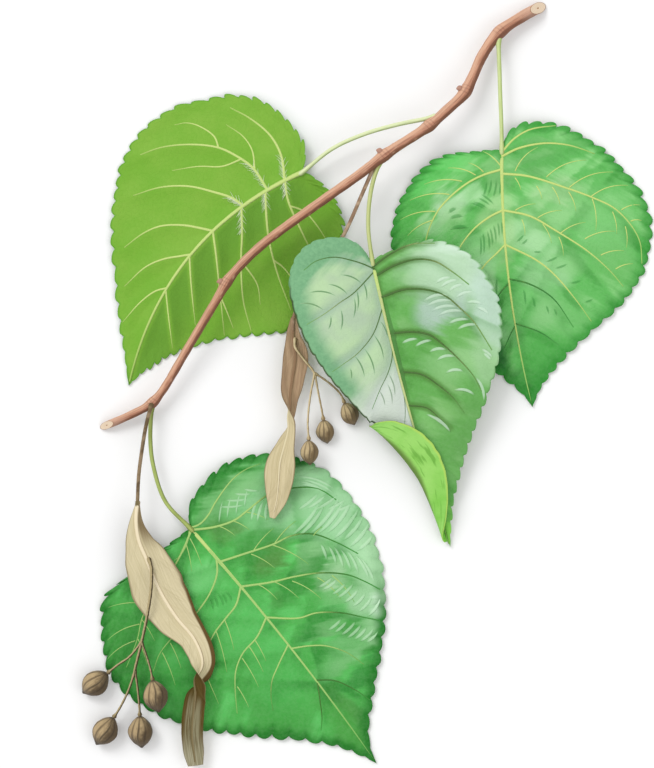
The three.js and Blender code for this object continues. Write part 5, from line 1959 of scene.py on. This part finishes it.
def bract_material(name, look):
    g = Graph(name, roughness=0.78, specular=0.15)
    run, v, back, across, share, kind, lit = g.attributes("run v back across share kind lit")
    place = g.place()
    lines = g.noise(g.vector(g.times(run, 0.05), g.times(across, 1.7), back), 1.3, 4, 0.65)
    slant = g.plus(g.times(run, 0.5), g.times(g.math("ABSOLUTE", across), -0.95))
    net = g.noise(g.vector(slant, g.times(across, 0.12), back), 1.5, 2)
    broad = g.noise(place, 90, 3)
    faces = []
    for tones in (look["front"], look["back"]):
        tone = g.mix(g.ramp(lines, 0.3, 0.66), tones[0], tones[1])
        tone = g.mix(g.times(g.ramp(net, 0.56, 0.68), 0.3), tone, tones[2])
        tone = g.mix(g.times(g.ramp(broad, 0.5, 0.7), 0.35), tone, tones[0])
        faces.append(tone)
    if "tip" in look:
        start, stop, tones = look["tip"]
        end = g.mix(g.ramp(lines, 0.36, 0.62), *tones)
        core = g.times(g.ramp(g.math("ABSOLUTE", v), 0.85, 0.5), g.ramp(lines, 0.36, 0.56))
        core = g.times(core, g.ramp(share, start - 0.09, start - 0.01))
        faces[1] = g.mix(core, faces[1], tones[0])
        faces[1] = g.mix(g.ramp(share, start, stop), faces[1], end)
    colour = g.mix(back, faces[0], faces[1])
    rim = g.ramp(g.math("ABSOLUTE", v), 0.9, 0.985)
    colour = g.mix(g.times(rim, 0.6), colour, look["rim"])
    if "band" in look:
        start, stop, margin = look["band"]
        across_band = g.plus(g.times(v, margin), g.times(g.ramp(share, start, stop), 0.2))
        band = g.times(g.ramp(share, start - 0.1, start + 0.05), g.ramp(across_band, 0.83, 0.95))
        colour = g.mix(g.times(band, g.without(back)), colour, look["rim"])
    # A painted shadow at the top of the blade, on one side.
    shadow_from, shadow_to, shadow_side = look["top_shadow"]
    top_shadow = g.times(g.ramp(share, shadow_to, shadow_from), g.ramp(g.times(v, shadow_side), 0.1, 0.35))
    colour = g.mix(g.times(top_shadow, g.without(back), 0.8), colour, look["rim"])
    vein = g.mix(back, *look["vein"])
    vein = g.mix(g.times(g.ramp(lit, 0.45, 0.0), 0.85), vein, look["vein_shade"])
    colour = g.mix(g.ramp(kind, 0.4, 0.6), colour, vein)
    stalk = g.mix(g.ramp(g.noise(place, 300, 2), 0.4, 0.6), *look["stalk"])
    colour = g.mix(g.ramp(kind, 1.4, 1.6), colour, stalk)
    fine = g.noise(place, 1400, 3, 0.6)
    g.bump(g.plus(g.times(lines, 0.9), g.times(net, 0.8), g.times(fine, 0.5)), 0.0003, 0.5)
    return g.colour(colour)


BRACT_LOOKS = [
    {
        "front": ((160, 132, 104), (186, 158, 126), (206, 180, 146)),
        "back": ((190, 176, 136), (212, 198, 160), (168, 154, 116)),
        "rim": (104, 80, 52),
        "midvein": 0.5,
        "vein": ((144, 116, 88), (220, 208, 172)),
        "vein_shade": (156, 132, 102),
        "stalk": ((150, 122, 98), (190, 164, 138)),
        "top_shadow": (0.0, 0.01, 1),
    },
    {
        "front": ((200, 188, 150), (216, 204, 168), (178, 166, 128)),
        "back": ((78, 60, 20), (92, 74, 32), (108, 92, 52)),
        "tip": (0.8, 0.93, ((136, 130, 100), (168, 162, 136))),
        "rim": (98, 76, 40),
        "midvein": 0.7,
        "vein": ((236, 222, 190), (118, 106, 72)),
        "vein_shade": (158, 138, 104),
        "stalk": ((104, 86, 62), (144, 124, 96)),
        "band": (0.34, 0.6, -1),
        "top_shadow": (0.1, 0.26, -1),
    },
]

for number, (bract, look) in enumerate(zip(BRACTS, BRACT_LOOKS)):
    make_bract(bract, look, 31 + number)

# ------------------------------------------------------------------ fruit


def fruit_stalk_material(name, tones):
    g = Graph(name, roughness=0.7, specular=0.2)
    streak = g.noise(g.vector(g.times(g.attribute("run"), 0.5), 0.0), 2.0, 3)
    # Painted light and shade: paler on the side toward the sun.
    side = g.plus(g.attribute("lit"), g.swing(streak, 0.8))
    colour = g.mix(g.ramp(side, 0.25, 0.85), tones[0], tones[1])
    colour = g.mix(g.times(g.ramp(g.attribute("knob"), 0.2, 0.9), 0.5), colour, tones[2])
    g.bump(g.noise(g.place(), 1600, 3), 0.0002, 0.6)
    return g.colour(colour)


def make_fruit_stalk(stalk, tones):
    shell = Shell()
    stem = stalk["rooted"] + stalk["stem"]
    look = FRUIT_STALK
    ways = [(stem, look["stem_radii"]), *((p, look["pedicel_radii"]) for p in stalk["pedicels"])]
    for number, (places, radii) in enumerate(ways):
        route = Route(places)
        t = np.linspace(0, 1, max(24, int(route.length / look["step"])))
        run, from_end = t * route.length, (1 - t) * route.length
        knob = np.exp(-((from_end / look["knob_length"]) ** 2)) if number else np.zeros(len(t))
        fork = np.exp(-((run / look["fork_length"]) ** 2))
        radius = between(radii, t) * stalk["slender"] + look["knob"] * knob + look["fork"] * fork
        radius = radius + look["uneven"] * np.sin(run * 2.1)
        tube(shell, route.at(t), radius, look["sides"], run=run + 40 * number, knob=knob + 0.4 * fork)
    piece = shell.build(stalk["name"], fruit_stalk_material(stalk["name"], tones))
    finish_piece(piece, "fruit_stalk", stalk["name"])


def nutlet_material(name, tones):
    g = Graph(name, roughness=0.8, specular=0.15, sheen=0.15)
    rib, level, groove, around, lit = g.attributes("rib level groove around lit")
    place = g.place()
    mottled = g.noise(place, 420, 4, 0.6)
    grain = g.noise(g.vector(g.times(around, 2.2), g.times(level, 0.7)), 2.4, 4)
    # Painted light and shade: paler on the side toward the sun.
    brightness = g.plus(lit, g.swing(grain, 1.3), g.swing(mottled, 0.8))
    colour = g.mix(g.ramp(brightness, 0.1, 1.05), tones[0], tones[1])
    colour = g.mix(g.times(g.ramp(rib, 0.2, 1.0), 0.3), colour, tones[2])
    colour = g.mix(g.times(groove, 0.85), colour, tones[3])
    ends = g.plus(g.ramp(level, 0.82, 1.0), g.ramp(level, -0.8, -0.98))
    colour = g.mix(g.times(g.math("MINIMUM", ends, 1.0), 0.75), colour, tones[3])
    felt = g.noise(place, 2600, 3, 0.7)
    g.bump(g.plus(felt, g.times(grain, 0.8)), 0.00022, 0.8)
    return g.colour(colour)


def make_nutlet(stalk, number, pedicel, material):
    """A ribbed, felted nut with a short point, hung from the end of its pedicel."""
    random = np.random.default_rng(900 + number + 10 * len(stalk["pedicels"]))
    route = Route(pedicel)
    along = unit(route.at([1.0]) - route.at([0.995]))[0]
    start = route.at([1.0])[0] + along * CLEARANCE
    middle = start + along * stalk["length"] / 2
    rows, sides = NUTLET["rings"], NUTLET["sides"]
    polar = np.linspace(NUTLET["pole"], math.pi - NUTLET["pole"], rows)[:, None]
    turn = turns_round(sides)[None, :]
    level, girth = np.cos(polar), np.sin(polar)
    facing_up = math.pi / 2 + random.uniform(-NUTLET["turn"], NUTLET["turn"])
    wave = np.cos(NUTLET["ribs"] * (turn - facing_up + NUTLET["rib_sway"] * np.sin(3 * level)))
    crest = np.maximum(0, wave) ** NUTLET["crest_power"]
    rib = 1 + NUTLET["rib_height"] * (NUTLET["swell"] * wave + NUTLET["crest"] * crest) * girth
    narrow = np.where(level < 0, NUTLET["beak"], NUTLET["neck"])
    taper = 1 - narrow * level**2
    dents = np.zeros((rows, sides))
    for _ in range(NUTLET["dents"]):
        a, b, c = random.integers(1, 6), random.uniform(1, 6), random.uniform(0, PHASES)
        dents += np.sin(a * turn + b * level * 3 + c) / NUTLET["dents"]
    radius = stalk["radius"] * girth * rib * taper * (1 + NUTLET["dent_height"] * dents)
    point = NUTLET["point"] * np.exp(-((girth / NUTLET["point_width"]) ** 2)) * (level < 0)
    height = (level - point) * stalk["length"] / 2
    # The solid's axes: -y along the pedicel, turned there the shortest way.
    spin = Vector((0, -1, 0)).rotation_difference(Vector(along)).to_matrix()
    x_axis, y_axis, z_axis = (np.array(spin.col[i]) for i in range(3))
    ones = np.ones_like(radius)
    places = (
        middle
        + x_axis * (radius * np.cos(turn))[..., None]
        + y_axis * (height * ones)[..., None]
        + z_axis * (radius * np.sin(turn))[..., None]
    ).reshape(-1, 3)
    places[:, 2] = np.maximum(places[:, 2], LOWEST)
    poles = middle + y_axis * np.array([[1.0], [-NUTLET["tip"]]]) * stalk["length"] / 2
    # Dark lines on the crests, and painted shade in the valleys between the ribs.
    groove = np.exp(-(((1 - wave) / NUTLET["line"]) ** 2))
    groove = groove + NUTLET["valley"] * np.exp(-(((1 + wave) / NUTLET["valley_line"]) ** 2))
    groove = groove * girth**0.5
    shine = unit(places - middle) @ SUN
    spread = {
        "rib": crest * ones,
        "level": level * ones,
        "groove": groove * ones,
        "around": np.cos(turn) * ones + 3 * np.sin(turn) * ones,
    }
    shell = Shell()
    shell.add(
        np.vstack([places, poles]), capped_faces(rows, sides),
        lit=np.concatenate([shine, [0, 0]]),
        **{k: np.concatenate([v.ravel(), [v[0, 0], v[-1, 0]]]) for k, v in spread.items()},
    )
    name = f"{stalk['prefix']}_{number}"
    finish_piece(shell.build(name, material), "nutlet", name)


# For each stalk: the shaded and the lit side's colour, which are painted shade and light, and its knobs'
# colour.
FRUIT_TONES = [
    ((146, 126, 90), (214, 196, 156), (158, 134, 98)),
    ((70, 58, 38), (176, 160, 120), (104, 88, 62)),
]
# For each nutlet: the shaded and the lit side's colour (painted shade and light), its crests' colour,
# and the colour of its lines and painted valley shade.
NUTLET_TONES = [
    ((122, 102, 72), (202, 180, 138), (216, 198, 158), (84, 68, 46)),
    ((92, 76, 54), (186, 162, 122), (204, 182, 142), (62, 50, 36)),
]

for stalk, tones, nut_tones in zip(FRUIT_STALKS, FRUIT_TONES, NUTLET_TONES):
    make_fruit_stalk(stalk, tones)
    nut = nutlet_material(stalk["prefix"], nut_tones)
    for number, pedicel in enumerate(stalk["pedicels"], 1):
        make_nutlet(stalk, number, pedicel, nut)

# ------------------------------------------------------------------ table, light and camera

# Sizes in metres, but the camera's lens and sensor in mm.  The table lies a hair below the twig.
TABLE_HALF = 2.0
TABLE_LEVEL = -0.0002
TABLE_COLOUR = (250, 250, 250)
VIEW_CENTRE = (-13.4 * MM, 0.0)
VIEW_HEIGHT = 253.4 * MM
VIEW_LEVEL = 6 * MM
LENS = 200.0
SENSOR = 36.0

# How bright the sky is, and each lamp's name, place, size and power.
SKY = 0.88
LAMPS = [("key", (-1.5, 1.6, 2.4), 1.4, 42.0), ("fill", (1.6, -1.0, 2.2), 2.0, 10.0)]


def make_table():
    signs = ((-1, -1), (1, -1), (1, 1), (-1, 1))
    corners = [(x * TABLE_HALF, y * TABLE_HALF, TABLE_LEVEL) for x, y in signs]
    mesh = bpy.data.meshes.new("table")
    mesh.from_pydata(corners, [], [(0, 1, 2, 3)])
    table = bpy.data.objects.new("table", mesh)
    bpy.context.scene.collection.objects.link(table)
    g = Graph("table", roughness=0.9, specular=0.05)
    mesh.materials.append(g.colour(TABLE_COLOUR))


def add_light(name, place, size, power):
    data = bpy.data.lights.new(name, "AREA")
    data.energy = power
    data.size = size
    light = bpy.data.objects.new(name, data)
    light.location = place
    light.rotation_euler = (-Vector(place)).to_track_quat("-Z", "Y").to_euler()
    bpy.context.scene.collection.objects.link(light)


def set_world(strength):
    world = bpy.data.worlds.new("studio")
    world.use_nodes = True
    shade = world.node_tree.nodes["Background"]
    shade.inputs[0].default_value = (1, 1, 1, 1)
    shade.inputs[1].default_value = strength
    bpy.context.scene.world = world


def make_camera():
    data = bpy.data.cameras.new("camera")
    data.sensor_width = SENSOR
    data.lens = LENS
    camera = bpy.data.objects.new("camera", data)
    distance = VIEW_HEIGHT * LENS / SENSOR
    camera.location = (*VIEW_CENTRE, VIEW_LEVEL + distance)
    camera.rotation_euler = (0, 0, 0)
    bpy.context.scene.collection.objects.link(camera)
    bpy.context.scene.camera = camera


make_table()
set_world(SKY)
for lamp in LAMPS:
    add_light(*lamp)
make_camera()
bpy.context.scene.view_settings.view_transform = "Standard"
